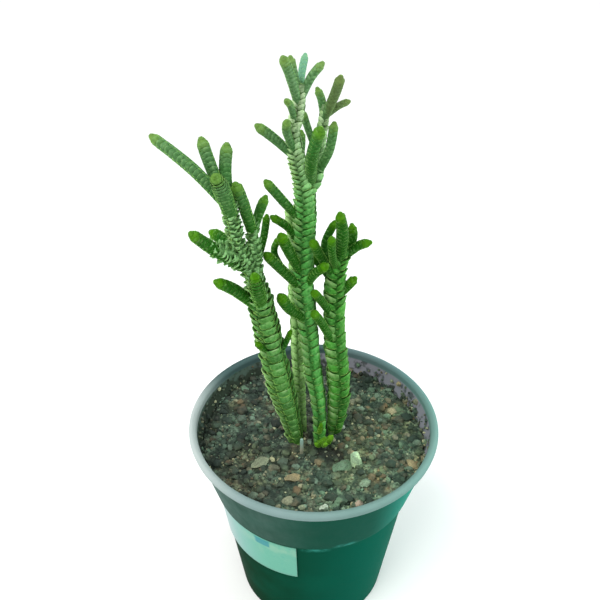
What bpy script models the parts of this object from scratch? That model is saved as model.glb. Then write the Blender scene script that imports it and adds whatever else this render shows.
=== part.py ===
"""A watch chain crassula in its nursery pot.

Metres, +Z up. The pot stands on z = 0 with its axis on the Z axis, and its front faces -Y. Four leafy
stems stand in the soil. Their scale leaves sit in four rows, in pairs that turn by a quarter from one
node of the stem to the next, so each stem looks like a square chain.
"""

import math

import bmesh
import bpy
from mathutils import Matrix, Vector, noise

MM = 0.001
GAP = 0.3 * MM  # air between two pieces that touch
MERGE = 0.001 * MM
HARD_EDGE = math.radians(30)  # edges sharper than this are shaded as edges
SOFT_EDGE = math.radians(25)

# Pot, a common 9 cm nursery size
RIM_RADIUS = 45.0 * MM
POT_HEIGHT = 80.0 * MM
BASE_RADIUS = 28.3 * MM
BASE_EDGE = 0.9 * MM  # bevel round the foot
STEP_HEIGHT = 53.7 * MM  # where the body ends and the flared collar begins
STEP_RADIUS = 35.8 * MM
STEP_BEVEL = 0.6 * MM
WALL = 1.2 * MM
FLOOR = 1.6 * MM
LIP_HEIGHT = 2.9 * MM
COLLAR_INSET = 1.6 * MM  # how far inside the rim the collar meets the lip
POT_SIDES = 48
DRAIN_HOLES = 6
DRAIN_RADIUS = 3.0 * MM
DRAIN_CIRCLE = 19.0 * MM
DRAIN_SIDES = 10

# Section of the rolled lip, in mm in from the rim and down from the top
LIP_SECTION = [(0.2, 2.4), (0.0, 1.2), (0.9, 0.0), (1.8, 0.0), (2.6, 0.9)]

# Soil
SOIL_LEVEL = 71.0 * MM
SOIL_RELIEF = 0.7 * MM  # how far the crumbs stand above and below the level
SOIL_RINGS = [1.0, 0.78, 0.50, 0.24]  # rings of points on the soil's top, as shares of its radius
CRUMB_SIZE = 5.0 * MM
CRUMB_PLACE = Vector((3.7, 1.3, 0.0))  # where in the noise the crumbs are read
STEM_DEPTH = 16.0 * MM  # how deep each stem stands in the soil
HOLE_SIDES = 12
CUTTER_RISE = 5.0 * MM  # how far a hole's cutter stands out of the soil

# Label, a paper strip round the body just under the collar
LABEL_TOP = 52.5 * MM
LABEL_BOTTOM = 33.5 * MM
LABEL_START = math.radians(9.5)  # measured from the front towards -X
LABEL_SWEEP = math.radians(100)
LABEL_THICKNESS = 0.5 * MM
LABEL_COLUMNS = 12

# Scale leaves
STEM_PITCH = 3.4 * MM  # from one leaf to the next in its row, on the stout stems
SHOOT_PITCH = 3.4 * MM  # the same on the side shoots
RING_POINTS = 8
TIP_LIFT = 0.8  # how far a leaf tip reaches up over the node above, in node spacings
CORNER_LIFT = 0.3
STEM_SHAPE = (0.74, 0.80)  # radius between two leaves of a row, and where two rows meet, as shares
SHOOT_SHAPE = (0.80, 0.86)  # of the tips' radius; the young leaves of a shoot lie closer
TIP_SHARES = {0: 0.74, 1: 0.96}  # share of the radius left at the last node and at the one before
TIP_REACH = 0.3  # how far the rounded end stands over the last node, in widths
LAST_RISE = 0.4  # share of the usual lift that the leaves of the last node have
ROOT_SHARE = 0.8  # width of a shoot where it leaves its stem, as a share of its own
CURVE_SAMPLES = 16  # points worked out between two points of a route

# Stones
STONE_WIDTH = 0.72  # width as a share of the length
STONE_ROUGHNESS = 0.22
STONE_LUMPS = 1.3  # size of the lumps, larger for finer ones
STONE_PLACE = Vector((0.0, 0.7, 5.3))  # where in the noise the lumps are read
STONE_STEP = 2.1  # how far along the noise the next stone is read
STONE_TURN = 1.9  # how far one stone is turned from the one before, in radians

# The big stones in the soil: x, y, length, height of the top over the soil, in mm
STONES = [
    (14.5, -11.0, 5.5, 2.2),
    (10.0, -15.0, 5.5, 1.8),
    (-19.0, -13.5, 5.0, 1.4),
    (-7.5, -20.5, 5.0, 1.5),
    (1.5, -13.5, 3.5, 1.3),
    (35.0, -13.5, 4.5, 1.6),
    (16.5, 9.5, 4.5, 1.4),
    (14.5, -32.0, 4.0, 1.3),
]

# Each stem: its routes through points (x, y, height over the soil, width) in mm, the first one from the
# soil, and its side shoots (route that carries it, height where it leaves it, bend, tip, width).
STEMS = {
    "stem_left": {
        "turn": 40,
        "routes": {
            "column": [
                (-6.3, -1.6, 0, 5.6), (-9.5, -3.0, 18.5, 8.2), (-12.0, -5.0, 32, 9.4),
                (-14.5, -7.0, 48.5, 9.0), (-16.5, -10.0, 64, 8.2), (-18.0, -12.0, 74, 7.4),
                (-20.0, -13.0, 82, 6.0), (-22.5, -14.5, 89.5, 5.4), (-24.0, -16.0, 99.5, 5.2),
                (-24.5, -17.0, 105.5, 4.8),
            ],
            "upper_right": [
                (-18.0, -12.0, 74, 5.6), (-18.5, -12.5, 82, 5.6), (-18.5, -11.5, 90, 5.0),
                (-19.0, -11.0, 96.5, 4.4),
            ],
        },
        "shoots": [
            ("column", 101.5, (-26.0, -21.5, 112.5), (-27.0, -25.0, 117.5), 5.1),
            ("column", 103.5, (-25.5, -13.0, 112.5), (-25.0, -10.0, 119.5), 4.0),
            ("column", 100.5, (-29.0, -14.0, 114.5), (-31.5, -12.0, 122), 3.9),
            ("column", 103.5, (-33.0, -18.5, 116), (-44.0, -15.5, 124.5), 4.2),
            ("upper_right", 93, (-20.5, -14.0, 102.5), (-22.5, -16.0, 110.5), 4.0),
            ("upper_right", 93, (-16.5, -9.0, 99), (-15.0, -7.0, 102), 3.3),
            ("column", 81, (-29.0, -18.0, 91), (-35.0, -21.0, 98), 4.3),
            ("column", 84, (-26.5, -10.0, 89), (-31.0, -7.0, 90.5), 4.1),
            ("column", 64, (-24.0, -15.0, 75), (-29.5, -17.0, 79.5), 4.4),
            ("column", 66, (-17.5, -18.0, 77.5), (-18.0, -21.0, 84.5), 4.9),
            ("column", 78, (-16.0, -5.0, 87), (-15.0, 0.0, 92), 2.6),
            ("column", 46, (-17.5, -9.0, 50.5), (-19.5, -11.0, 52.5), 3.0),
        ],
    },
    "stem_back": {
        "turn": 50,
        "routes": {
            "column": [
                (-4.2, 3.5, 0, 4.2), (-4.9, 5.0, 13.5, 4.8), (-5.3, 6.0, 27, 5.2),
                (-5.8, 6.5, 38, 5.2), (-6.0, 7.0, 49, 5.2), (-6.5, 8.0, 60, 5.0),
                (-6.5, 8.5, 70, 4.8), (-7.0, 8.5, 78.5, 4.4), (-8.0, 8.5, 89.5, 4.0),
            ],
        },
        "shoots": [
            ("column", 61, (-13.0, 8.0, 73.5), (-12.0, 8.0, 79.5), 2.5),
        ],
    },
    "stem_centre": {
        "turn": 35,
        "routes": {
            "column": [
                (2.3, -2.3, 0, 4.9), (1.7, -0.5, 17.5, 5.6), (-0.4, 0.0, 32, 6.6),
                (-1.6, 0.0, 45, 6.9), (-3.0, -1.0, 58.5, 7.2), (-4.0, -1.0, 70.5, 7.4),
                (-4.0, -1.0, 81, 7.8), (-3.5, -1.0, 92, 7.6), (-3.5, -1.0, 100, 7.1),
                (-4.5, -1.0, 106, 6.0), (-6.0, -2.0, 113, 5.4), (-7.0, -2.0, 120, 4.8),
                (-5.5, -1.0, 126, 4.4), (-5.0, -1.0, 132, 3.8),
            ],
            "upper_right": [
                (-3.5, -1.0, 100, 5.0), (-0.5, 0.5, 105, 5.4), (0.0, 5.0, 109, 4.6),
                (1.5, 8.5, 116, 3.8), (2.5, 10.0, 122, 3.4),
            ],
        },
        "shoots": [
            ("column", 128, (-7.5, -5.0, 137.5), (-9.2, -8.5, 143), 3.2),
            ("column", 129, (-6.5, -0.5, 136), (-7.4, -0.5, 140.5), 2.6),
            ("column", 129, (-4.5, 4.0, 134.5), (-3.5, 8.0, 138.5), 2.4),
            ("column", 128, (-2.0, 0.0, 135), (1.0, 1.0, 138.5), 2.8),
            ("column", 123, (-7.5, -5.0, 129), (-8.5, -8.0, 131.5), 2.2),
            ("column", 113, (-8.5, -6.0, 121.5), (-8.5, -9.0, 126), 2.7),
            ("column", 109, (-4.5, 3.0, 114), (-4.5, 5.0, 117), 2.6),
            ("column", 112, (-12.0, -4.0, 119), (-16.5, -6.0, 123.5), 3.2),
            ("upper_right", 103, (-1.5, -7.0, 115), (0.5, -11.0, 124.5), 4.0),
            ("upper_right", 105, (3.5, 3.0, 112), (5.0, 5.0, 119.5), 3.2),
            ("upper_right", 119.5, (5.0, 8.5, 127), (6.5, 7.0, 132.5), 3.4),
            ("upper_right", 119.5, (1.5, 12.0, 124), (0.3, 13.0, 127), 2.7),
            ("upper_right", 120, (6.5, 12.0, 122.5), (9.3, 14.0, 123), 2.4),
            ("upper_right", 110, (-2.5, 8.0, 117), (-4.0, 8.0, 122), 2.4),
            ("column", 66.5, (-0.5, -5.0, 74.5), (3.0, -8.0, 79.5), 3.4),
            ("column", 65.5, (-10.0, -5.5, 76), (-15.0, -9.0, 84), 3.6),
            ("column", 54, (-8.0, -6.0, 62), (-11.0, -8.5, 68.5), 4.1),
            ("column", 71.5, (-8.0, -6.0, 83), (-10.5, -9.0, 90.5), 3.9),
            ("column", 82, (-8.5, -3.0, 90), (-13.0, -4.0, 94), 2.8),
            ("column", 90, (-9.5, -4.0, 99), (-14.5, -6.0, 106.5), 3.2),
            ("column", 2, (4.5, -5.0, 3), (5.0, -5.5, 6), 3.2),
        ],
    },
    "stem_right": {
        "turn": 45,
        "routes": {
            "column": [
                (7.7, 3.4, 0, 5.8), (9.0, 2.5, 16.5, 8.4), (8.5, 2.0, 30, 8.8), (7.0, 2.0, 44, 8.4),
                (6.5, 2.0, 55.5, 8.0), (6.5, 2.0, 65.5, 7.8), (7.0, 2.0, 72.5, 7.0),
                (8.5, 1.0, 79, 5.6),
            ],
        },
        "shoots": [
            ("column", 73, (8.0, -3.0, 87), (7.0, -5.0, 95.5), 4.4),
            ("column", 75.5, (11.5, 4.0, 81.5), (11.5, 6.0, 85.5), 3.3),
            ("column", 75.5, (13.0, 1.0, 81), (16.5, 0.0, 83), 3.3),
            ("column", 71.5, (5.0, -5.0, 81.5), (4.5, -8.0, 89), 2.8),
            ("column", 71.5, (3.0, 5.0, 78.5), (6.0, 8.0, 85.5), 2.9),
            ("column", 68.5, (1.5, -3.5, 80), (-1.0, -7.5, 87.5), 3.3),
            ("column", 60.5, (10.0, 1.0, 65.5), (12.5, 0.0, 69.5), 3.4),
            ("column", 52.5, (2.0, -3.0, 63), (-0.5, -7.0, 69), 3.2),
            ("column", 40, (2.5, -3.5, 54), (-0.5, -7.5, 61.5), 3.3),
            ("column", 65.5, (1.5, 4.5, 72), (-1.5, 4.5, 75), 2.7),
        ],
    },
}

# The bare stub of an old stem: x, y, height over the soil, thickness, in mm
STUB = (-4.3, -9.3, 7.7, 1.4)
STUB_DEPTH = 8.0 * MM
STUB_SIDES = 8

# Base colour, roughness
FINISHES = {
    "pot": ((0.012, 0.075, 0.052), 0.42),
    "soil": ((0.055, 0.070, 0.048), 0.95),
    "label": ((0.240, 0.550, 0.460), 0.55),
    "stem_left": ((0.075, 0.190, 0.045), 0.60),
    "stem_back": ((0.090, 0.180, 0.055), 0.60),
    "stem_centre": ((0.070, 0.200, 0.065), 0.60),
    "stem_right": ((0.080, 0.210, 0.050), 0.60),
    "old_stem_stub": ((0.260, 0.270, 0.180), 0.80),
}


def clear_scene():
    for thing in list(bpy.data.objects):
        bpy.data.objects.remove(thing, do_unlink=True)


def make_object(name, bm):
    """Turn a bmesh into an object of this name in the scene."""
    mesh = bpy.data.meshes.new(name)
    bm.to_mesh(mesh)
    bm.free()
    thing = bpy.data.objects.new(name, mesh)
    bpy.context.scene.collection.objects.link(thing)
    return thing


def finish(thing, smooth_angle):
    """Shade a piece and give it its own material."""
    colour, roughness = FINISHES[thing.name]
    material = bpy.data.materials.new(thing.name)
    material.use_nodes = True
    shader = material.node_tree.nodes["Principled BSDF"]
    shader.inputs["Base Color"].default_value = (*colour, 1.0)
    shader.inputs["Roughness"].default_value = roughness
    shader.inputs["Metallic"].default_value = 0.0
    material.diffuse_color = (*colour, 1.0)
    thing.data.materials.clear()
    thing.data.materials.append(material)
    thing.data.shade_smooth()
    thing.data.set_sharp_from_angle(angle=smooth_angle)


def apply_boolean(thing, tools, operation, solver="EXACT"):
    """Join or cut a piece with a collection of tool objects, then remove them."""
    shelf = bpy.data.collections.new("boolean_tools")
    bpy.context.scene.collection.children.link(shelf)
    for tool in tools:
        shelf.objects.link(tool)
        tool.hide_render = True
        tool.display_type = "WIRE"
    modifier = thing.modifiers.new("boolean", "BOOLEAN")
    modifier.operation = operation
    modifier.operand_type = "COLLECTION"
    modifier.collection = shelf
    modifier.solver = solver
    bpy.context.view_layer.update()
    with bpy.context.temp_override(object=thing, active_object=thing):
        bpy.ops.object.modifier_apply(modifier=modifier.name)
    for tool in tools:
        bpy.data.objects.remove(tool, do_unlink=True)
    bpy.data.collections.remove(shelf)


def keep_main_shell(thing):
    """Fill hollows that a union sealed and drop loose scraps, by keeping only the largest shell."""
    bm = bmesh.new()
    bm.from_mesh(thing.data)
    unseen = set(bm.verts)
    shells = []
    while unseen:
        shell = set()
        front = {unseen.pop()}
        while front:
            shell |= front
            front = {edge.other_vert(vert) for vert in front for edge in vert.link_edges} - shell
        unseen -= shell
        shells.append(shell)
    shells.sort(key=len)
    for scrap in shells[:-1]:
        bmesh.ops.delete(bm, geom=list(scrap), context="VERTS")
    bm.to_mesh(thing.data)
    bm.free()


def turned(profile, sides):
    """Spin a profile of (radius, height) points round the Z axis into a closed solid."""
    bm = bmesh.new()
    verts = [bm.verts.new((0.0, -radius, height)) for radius, height in profile]
    edges = [bm.edges.new(pair) for pair in zip(verts, verts[1:])]
    bmesh.ops.spin(
        bm, geom=verts + edges, cent=(0, 0, 0), axis=(0, 0, 1),
        angle=math.tau, steps=sides, use_merge=True, use_duplicate=False,
    )
    bmesh.ops.remove_doubles(bm, verts=bm.verts, dist=MERGE)
    bmesh.ops.recalc_face_normals(bm, faces=bm.faces)
    return bm


def collar_radius(height):
    """Outer radius of the flared collar between the step and the lip."""
    under_lip = POT_HEIGHT - LIP_HEIGHT
    start = STEP_RADIUS + WALL
    share = (height - STEP_HEIGHT) / (under_lip - STEP_HEIGHT)
    return start + (RIM_RADIUS - COLLAR_INSET - start) * share


def body_radius(height):
    """Outer radius of the plain tapered body below the step."""
    return BASE_RADIUS + (STEP_RADIUS - BASE_RADIUS) * height / STEP_HEIGHT


def make_pot():
    under_lip = POT_HEIGHT - LIP_HEIGHT
    inner_step = STEP_HEIGHT + WALL
    profile = [
        (0.0, 0.0),
        (BASE_RADIUS - BASE_EDGE, 0.0),
        (body_radius(BASE_EDGE), BASE_EDGE),
        (STEP_RADIUS, STEP_HEIGHT - STEP_BEVEL),
        (STEP_RADIUS + WALL, STEP_HEIGHT),
        (collar_radius(under_lip), under_lip),
    ]
    profile += [(RIM_RADIUS - inward * MM, POT_HEIGHT - down * MM) for inward, down in LIP_SECTION]
    profile += [
        (collar_radius(under_lip) - WALL, under_lip),
        (collar_radius(inner_step) - WALL, inner_step),
        (STEP_RADIUS - WALL, STEP_HEIGHT - STEP_BEVEL),
        (body_radius(FLOOR) - WALL, FLOOR),
        (0.0, FLOOR),
    ]
    pot = make_object("pot", turned(profile, POT_SIDES))
    cutters = []
    for number in range(DRAIN_HOLES):
        angle = math.tau * number / DRAIN_HOLES
        x = DRAIN_CIRCLE * math.cos(angle)
        y = DRAIN_CIRCLE * math.sin(angle)
        cutters.append(post("drain_cutter", x, y, -FLOOR, 2 * FLOOR, DRAIN_RADIUS, DRAIN_SIDES))
    apply_boolean(pot, cutters, "DIFFERENCE")
    finish(pot, HARD_EDGE)


def post(name, x, y, bottom, top, radius, sides):
    """An upright round bar."""
    bm = bmesh.new()
    place = Matrix.Translation((x, y, (bottom + top) / 2))
    bmesh.ops.create_cone(
        bm, cap_ends=True, segments=sides, radius1=radius, radius2=radius,
        depth=top - bottom, matrix=place,
    )
    return make_object(name, bm)


def hole_cutter(name, x, y, depth, bar_radius):
    """The cutter of a round hole in the soil, whose flats and floor clear a bar by the gap."""
    radius = (bar_radius + GAP) / math.cos(math.pi / HOLE_SIDES)
    return post(name, x, y, SOIL_LEVEL - depth - GAP, SOIL_LEVEL + CUTTER_RISE, radius, HOLE_SIDES)


def make_soil():
    """The soil fills the pot. Its crumbly top holds stones, and a plain hole for each stem."""
    bottom = FLOOR + GAP
    low_wall = WALL + GAP
    inner_step = STEP_HEIGHT + WALL
    top_radius = collar_radius(SOIL_LEVEL) - low_wall
    profile = [
        (0.0, bottom),
        (body_radius(bottom) - low_wall, bottom),
        (STEP_RADIUS - low_wall, STEP_HEIGHT - STEP_BEVEL),
        (collar_radius(inner_step) - low_wall, inner_step + GAP),
    ]
    profile += [(top_radius * share, SOIL_LEVEL) for share in SOIL_RINGS]
    profile.append((0.0, SOIL_LEVEL))
    bm = turned(profile, POT_SIDES)
    for vert in bm.verts:
        if vert.co.z > SOIL_LEVEL - MERGE:
            vert.co.z += SOIL_RELIEF * noise.noise(vert.co / CRUMB_SIZE + CRUMB_PLACE)
    soil = make_object("soil", bm)
    apply_boolean(soil, [stone(number) for number in range(len(STONES))], "UNION")
    keep_main_shell(soil)
    cutters = []
    for name, stem in STEMS.items():
        x, y, _, width = stem["routes"]["column"][0]
        cutters.append(hole_cutter(name + "_hole", x * MM, y * MM, STEM_DEPTH, width / 2 * MM))
    x, y, _, thickness = STUB
    cutters.append(hole_cutter("stub_hole", x * MM, y * MM, STUB_DEPTH, thickness / 2 * MM))
    apply_boolean(soil, cutters, "DIFFERENCE")
    finish(soil, SOFT_EDGE)


def stone(number):
    """A rough stone, sunk in the soil up to its widest part."""
    x, y, length, height = STONES[number]
    bm = bmesh.new()
    bmesh.ops.create_icosphere(bm, subdivisions=2, radius=1.0)
    lumps = STONE_PLACE + Vector((number * STONE_STEP, 0, 0))
    for vert in bm.verts:
        vert.co *= 1.0 + STONE_ROUGHNESS * noise.noise(vert.co * STONE_LUMPS + lumps)
    half_length = length / 2 * MM
    size = Matrix.Diagonal((half_length, half_length * STONE_WIDTH, height * MM, 1.0))
    turn = Matrix.Rotation(number * STONE_TURN, 4, "Z")
    place = Matrix.Translation((x * MM, y * MM, SOIL_LEVEL))
    bmesh.ops.transform(bm, matrix=place @ turn @ size, verts=bm.verts)
    return make_object("stone", bm)


def make_label():
    """A strip of paper that follows the cone of the body."""
    bm = bmesh.new()
    columns = []
    for number in range(LABEL_COLUMNS + 1):
        angle = LABEL_START + LABEL_SWEEP * number / LABEL_COLUMNS
        column = []
        for height in (LABEL_BOTTOM, LABEL_TOP):
            for stand_off in (GAP, GAP + LABEL_THICKNESS):
                radius = body_radius(height) + stand_off
                place = (-radius * math.sin(angle), -radius * math.cos(angle), height)
                column.append(bm.verts.new(place))
        columns.append(column)
    around = (0, 1, 3, 2)
    for near, far in zip(columns, columns[1:]):
        for corner, following in zip(around, around[1:] + around[:1]):
            bm.faces.new((near[corner], near[following], far[following], far[corner]))
    bm.faces.new([columns[0][corner] for corner in around])
    bm.faces.new([columns[-1][corner] for corner in around])
    bmesh.ops.recalc_face_normals(bm, faces=bm.faces)
    finish(make_object("label", bm), HARD_EDGE)


def curve_through(points, step):
    """Walk a smooth curve through the points in equal steps; a point is (place, width)."""
    padded = [points[0]] + list(points) + [points[-1]]
    fine = []
    for before, start, end, after in zip(padded, padded[1:], padded[2:], padded[3:]):
        for part in range(CURVE_SAMPLES):
            t = part / CURVE_SAMPLES
            fine.append(0.5 * (
                2 * start + (end - before) * t
                + (2 * before - 5 * start + 4 * end - after) * t ** 2
                + (3 * start - before - 3 * end + after) * t ** 3
            ))
    fine.append(points[-1])
    lengths = [0.0]
    for here, following in zip(fine, fine[1:]):
        lengths.append(lengths[-1] + (following.xyz - here.xyz).length)
    count = max(3, round(lengths[-1] / step))
    walk = []
    index = 0
    for number in range(count + 1):
        along = lengths[-1] * number / count
        while index < len(lengths) - 2 and lengths[index + 1] < along:
            index += 1
        share = (along - lengths[index]) / (lengths[index + 1] - lengths[index])
        walk.append(fine[index].lerp(fine[index + 1], share))
    return walk


def at_height(points, height):
    """The point of a route at a height."""
    for low, high in zip(points, points[1:]):
        if low.z <= height <= high.z:
            return low.lerp(high, (height - low.z) / (high.z - low.z))
    return points[-1]


def leafy_tube(name, points, pitch, shape, turn, neck=None):
    """A stem whose surface rises into scale leaves.

    Each node of the stem is a ring of eight points: four on the rows of leaves and four on the corners
    between them. On two opposite rows the ring's points are leaf tips, and on the other two they lie
    between leaves. The rows change over at the next node, and a tip leans up over that node.
    """
    between, corner_share = shape
    spacing = pitch / 2
    nodes = curve_through(points, spacing)
    bm = bmesh.new()
    rings = []
    if neck:
        for height in (SOIL_LEVEL - STEM_DEPTH, SOIL_LEVEL):
            rings.append(neck_ring(bm, nodes[0].x, nodes[0].y, height, neck, turn))
        nodes = nodes[1:]
    side = Matrix.Rotation(turn, 3, "Z") @ Vector((1, 0, 0))
    last = len(nodes) - 1
    for number, node in enumerate(nodes):
        before = nodes[max(number - 1, 0)]
        after = nodes[min(number + 1, last)]
        along = (after.xyz - before.xyz).normalized()
        side = (side - along * side.dot(along)).normalized()
        across = along.cross(side)
        radius = node.w / 2 * TIP_SHARES.get(last - number, 1.0)
        rise = spacing * (LAST_RISE if number == last else 1.0)
        ring = []
        for corner in range(RING_POINTS):
            angle = corner * math.tau / RING_POINTS
            out = side * math.cos(angle) + across * math.sin(angle)
            if corner % 2:
                reach, lift = corner_share, CORNER_LIFT
            elif (corner // 2 + number) % 2 == 0:
                reach, lift = 1.0, TIP_LIFT
            else:
                reach, lift = between, 0.0
            ring.append(bm.verts.new(node.xyz + out * radius * reach + along * rise * lift))
        rings.append(ring)
    top = bm.verts.new(nodes[-1].xyz + along * nodes[-1].w * TIP_REACH)
    bm.faces.new(list(reversed(rings[0])))
    for low, high in zip(rings, rings[1:]):
        skin_band(bm, low, high)
    for corner in range(RING_POINTS):
        bm.faces.new((rings[-1][corner], rings[-1][(corner + 1) % RING_POINTS], top))
    return make_object(name, bm)


def neck_ring(bm, x, y, height, radius, turn):
    """A level ring of the bare foot that stands in the soil."""
    centre = Vector((x, y, height))
    ring = []
    for corner in range(RING_POINTS):
        out = Matrix.Rotation(turn + corner * math.tau / RING_POINTS, 3, "Z") @ Vector((radius, 0, 0))
        ring.append(bm.verts.new(centre + out))
    return ring


def skin_band(bm, low, high):
    """Triangles between two rings, with their diagonals running from the rows to the corners."""
    for corner in range(RING_POINTS):
        after = (corner + 1) % RING_POINTS
        if corner % 2 == 0:
            bm.faces.new((low[corner], low[after], high[corner]))
            bm.faces.new((low[after], high[after], high[corner]))
        else:
            bm.faces.new((low[corner], low[after], high[after]))
            bm.faces.new((low[corner], high[after], high[corner]))


def route_points(route):
    """Routes are given in mm over the soil; give them in metres from the pot's base."""
    lift = Vector((0, 0, SOIL_LEVEL, 0))
    return [Vector(point) * MM + lift for point in route]


def make_stem(name, stem):
    routes = {key: route_points(route) for key, route in stem["routes"].items()}
    turn = math.radians(stem["turn"])
    neck = routes["column"][0].w / 2
    column = leafy_tube(name, routes["column"], STEM_PITCH, STEM_SHAPE, turn, neck)
    parts = []
    for key, points in routes.items():
        if key != "column":
            parts.append(leafy_tube(key, points, STEM_PITCH, STEM_SHAPE, turn))
    for carrier, height, bend, tip, width in stem["shoots"]:
        root = at_height(routes[carrier], SOIL_LEVEL + height * MM)
        root.w = ROOT_SHARE * width * MM
        middle, end = route_points([(*bend, width), (*tip, width)])
        parts.append(leafy_tube("shoot", [root, middle, end], SHOOT_PITCH, SHOOT_SHAPE, turn))
    apply_boolean(column, parts, "UNION")
    keep_main_shell(column)
    finish(column, SOFT_EDGE)


def make_stub():
    x, y, height, thickness = STUB
    bottom = SOIL_LEVEL - STUB_DEPTH
    top = SOIL_LEVEL + height * MM
    stub = post("old_stem_stub", x * MM, y * MM, bottom, top, thickness / 2 * MM, STUB_SIDES)
    finish(stub, HARD_EDGE)


clear_scene()
make_pot()
make_soil()
make_label()
for stem_name, stem_plan in STEMS.items():
    make_stem(stem_name, stem_plan)
make_stub()
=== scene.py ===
# %% [markdown]
# # A potted watch chain crassula
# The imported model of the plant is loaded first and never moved. It is the frame that every finer piece
# below is fitted to: each new piece replaces one of its nodes and keeps that node's form and place. The
# alternative is to model freely and scale the result to fit at the end, which is quick to start with and
# hard to get right when eight pieces have to meet.

# %% Load the frame
import math
import random

import bmesh
import bpy
import numpy as np
from mathutils import Matrix, Vector, noise


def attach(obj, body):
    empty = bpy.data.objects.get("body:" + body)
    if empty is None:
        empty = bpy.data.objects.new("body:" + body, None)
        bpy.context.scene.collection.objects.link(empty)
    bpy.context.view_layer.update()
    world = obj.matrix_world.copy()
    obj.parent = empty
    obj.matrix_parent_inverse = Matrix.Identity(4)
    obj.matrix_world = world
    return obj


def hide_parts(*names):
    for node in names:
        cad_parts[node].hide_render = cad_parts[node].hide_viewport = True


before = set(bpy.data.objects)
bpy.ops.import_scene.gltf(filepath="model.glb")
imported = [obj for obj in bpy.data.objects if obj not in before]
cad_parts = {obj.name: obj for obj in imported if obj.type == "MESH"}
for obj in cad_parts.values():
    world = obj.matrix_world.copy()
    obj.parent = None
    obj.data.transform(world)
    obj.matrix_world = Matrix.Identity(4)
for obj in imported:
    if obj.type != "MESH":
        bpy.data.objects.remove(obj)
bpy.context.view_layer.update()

MM = 0.001
print("nodes:", sorted(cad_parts))

# %% [markdown]
# ## Camera
# The photograph looks down at the plant by about 35 degrees from a hand's height above it. A 48 mm lens
# from 35 cm away gives the same opening of the rim's ellipse and the same narrowing of the pot
# downwards. A longer lens from farther away would flatten both.

# %% Place the camera
LOOKING_DOWN = 34.6  # degrees

camera_data = bpy.data.cameras.new("camera")
camera_data.lens = 48
camera_data.sensor_width = 36
camera_data.clip_start = 0.01
camera = bpy.data.objects.new("camera", camera_data)
camera.location = (-0.0049, -0.2143, 0.2802)
camera.rotation_euler = (math.radians(90 - LOOKING_DOWN), 0, 0)
bpy.context.scene.collection.objects.link(camera)
bpy.context.scene.camera = camera
print("camera at", [round(value, 3) for value in camera.location])

# %% [markdown]
# ## Helpers for modelling by hand
# Everything is modelled as it would be with the mouse: add a primitive, open it in edit mode, select
# some of its points, and pull, scale or extrude them. An operator works on all that is selected, so each
# helper first drops the old selection and then selects by place.

# %% Add, select and finish
def begin(add, name, **settings):
    """Add a primitive, name it and leave it open in edit mode with everything selected."""
    if bpy.context.mode != "OBJECT":
        bpy.ops.object.mode_set(mode="OBJECT")
    bpy.ops.object.select_all(action="DESELECT")
    add(**settings)
    piece = bpy.context.object
    piece.name = piece.data.name = name
    bpy.ops.object.mode_set(mode="EDIT")
    return piece


def disc(name, sides, radius, place=(0, 0, 0)):
    """A filled circle whose place is already in its mesh, open in edit mode."""
    piece = begin(
        bpy.ops.mesh.primitive_circle_add, name, vertices=sides, radius=radius, fill_type="NGON",
        location=place,
    )
    bpy.ops.object.mode_set(mode="OBJECT")
    bpy.ops.object.transform_apply(location=True)
    bpy.ops.object.mode_set(mode="EDIT")
    return piece


def resize(across, up=1, around=(0, 0, 0)):
    """Scale what is selected across and up, about a point."""
    bpy.ops.transform.resize(value=(across, across, up), center_override=around)


def pull(rise):
    """Extrude what is selected straight up."""
    bpy.ops.mesh.extrude_region_move(TRANSFORM_OT_translate={"value": (0, 0, rise)})


def pick(piece, test):
    """Select the points whose place passes the test, and nothing else."""
    bpy.ops.mesh.select_mode(type="VERT")
    bpy.ops.mesh.select_all(action="DESELECT")
    bm = bmesh.from_edit_mesh(piece.data)
    for vert in bm.verts:
        vert.select_set(test(vert.co))
    bm.select_flush_mode()
    bmesh.update_edit_mesh(piece.data)


def outwards():
    """Merge doubles and turn every face of the open piece outwards."""
    bpy.ops.mesh.select_all(action="SELECT")
    bpy.ops.mesh.remove_doubles(threshold=0.002 * MM)
    bpy.ops.mesh.normals_make_consistent(inside=False)


def close(piece, angle=None):
    """Leave edit mode, put the piece's place into its mesh, and shade it smooth."""
    bpy.ops.object.mode_set(mode="OBJECT")
    bpy.ops.object.transform_apply(location=True, rotation=True, scale=True)
    if angle is None:
        bpy.ops.object.shade_smooth()
    else:
        bpy.ops.object.shade_smooth_by_angle(angle=math.radians(angle))
    return piece


def apply(piece, kind, **settings):
    """Add a modifier to the piece and apply it."""
    modifier = piece.modifiers.new(kind.lower(), kind)
    for key, value in settings.items():
        setattr(modifier, key, value)
    with bpy.context.temp_override(object=piece, active_object=piece):
        bpy.ops.object.modifier_apply(modifier=modifier.name)


def report(piece):
    """Print how many triangles the piece has."""
    triangles = sum(len(face.vertices) - 2 for face in piece.data.polygons)
    print(f"{piece.name}: {triangles} triangles")


print("helpers for modelling are ready")

# %% [markdown]
# ## Helpers for materials
# A finish is a sum of patterns. Written as nodes one by one it is hard to read, so a small class lets a
# socket be added and multiplied like a number.

# %% Sockets as numbers
class Wire:
    """An output of a material's node. Sums with it become Math nodes."""

    def __init__(self, paint, socket):
        self.paint = paint
        self.socket = socket

    def sum(self, operation, first, second):
        return self.paint.node("Math", {"operation": operation}, {0: first, 1: second})

    def __add__(self, other):
        return self.sum("ADD", self, other)

    def __sub__(self, other):
        return self.sum("SUBTRACT", self, other)

    def __rsub__(self, other):
        return self.sum("SUBTRACT", other, self)

    def __mul__(self, other):
        return self.sum("MULTIPLY", self, other)

    def __truediv__(self, other):
        return self.sum("DIVIDE", self, other)

    __radd__ = __add__
    __rmul__ = __mul__


print("sockets can be added and multiplied")

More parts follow.
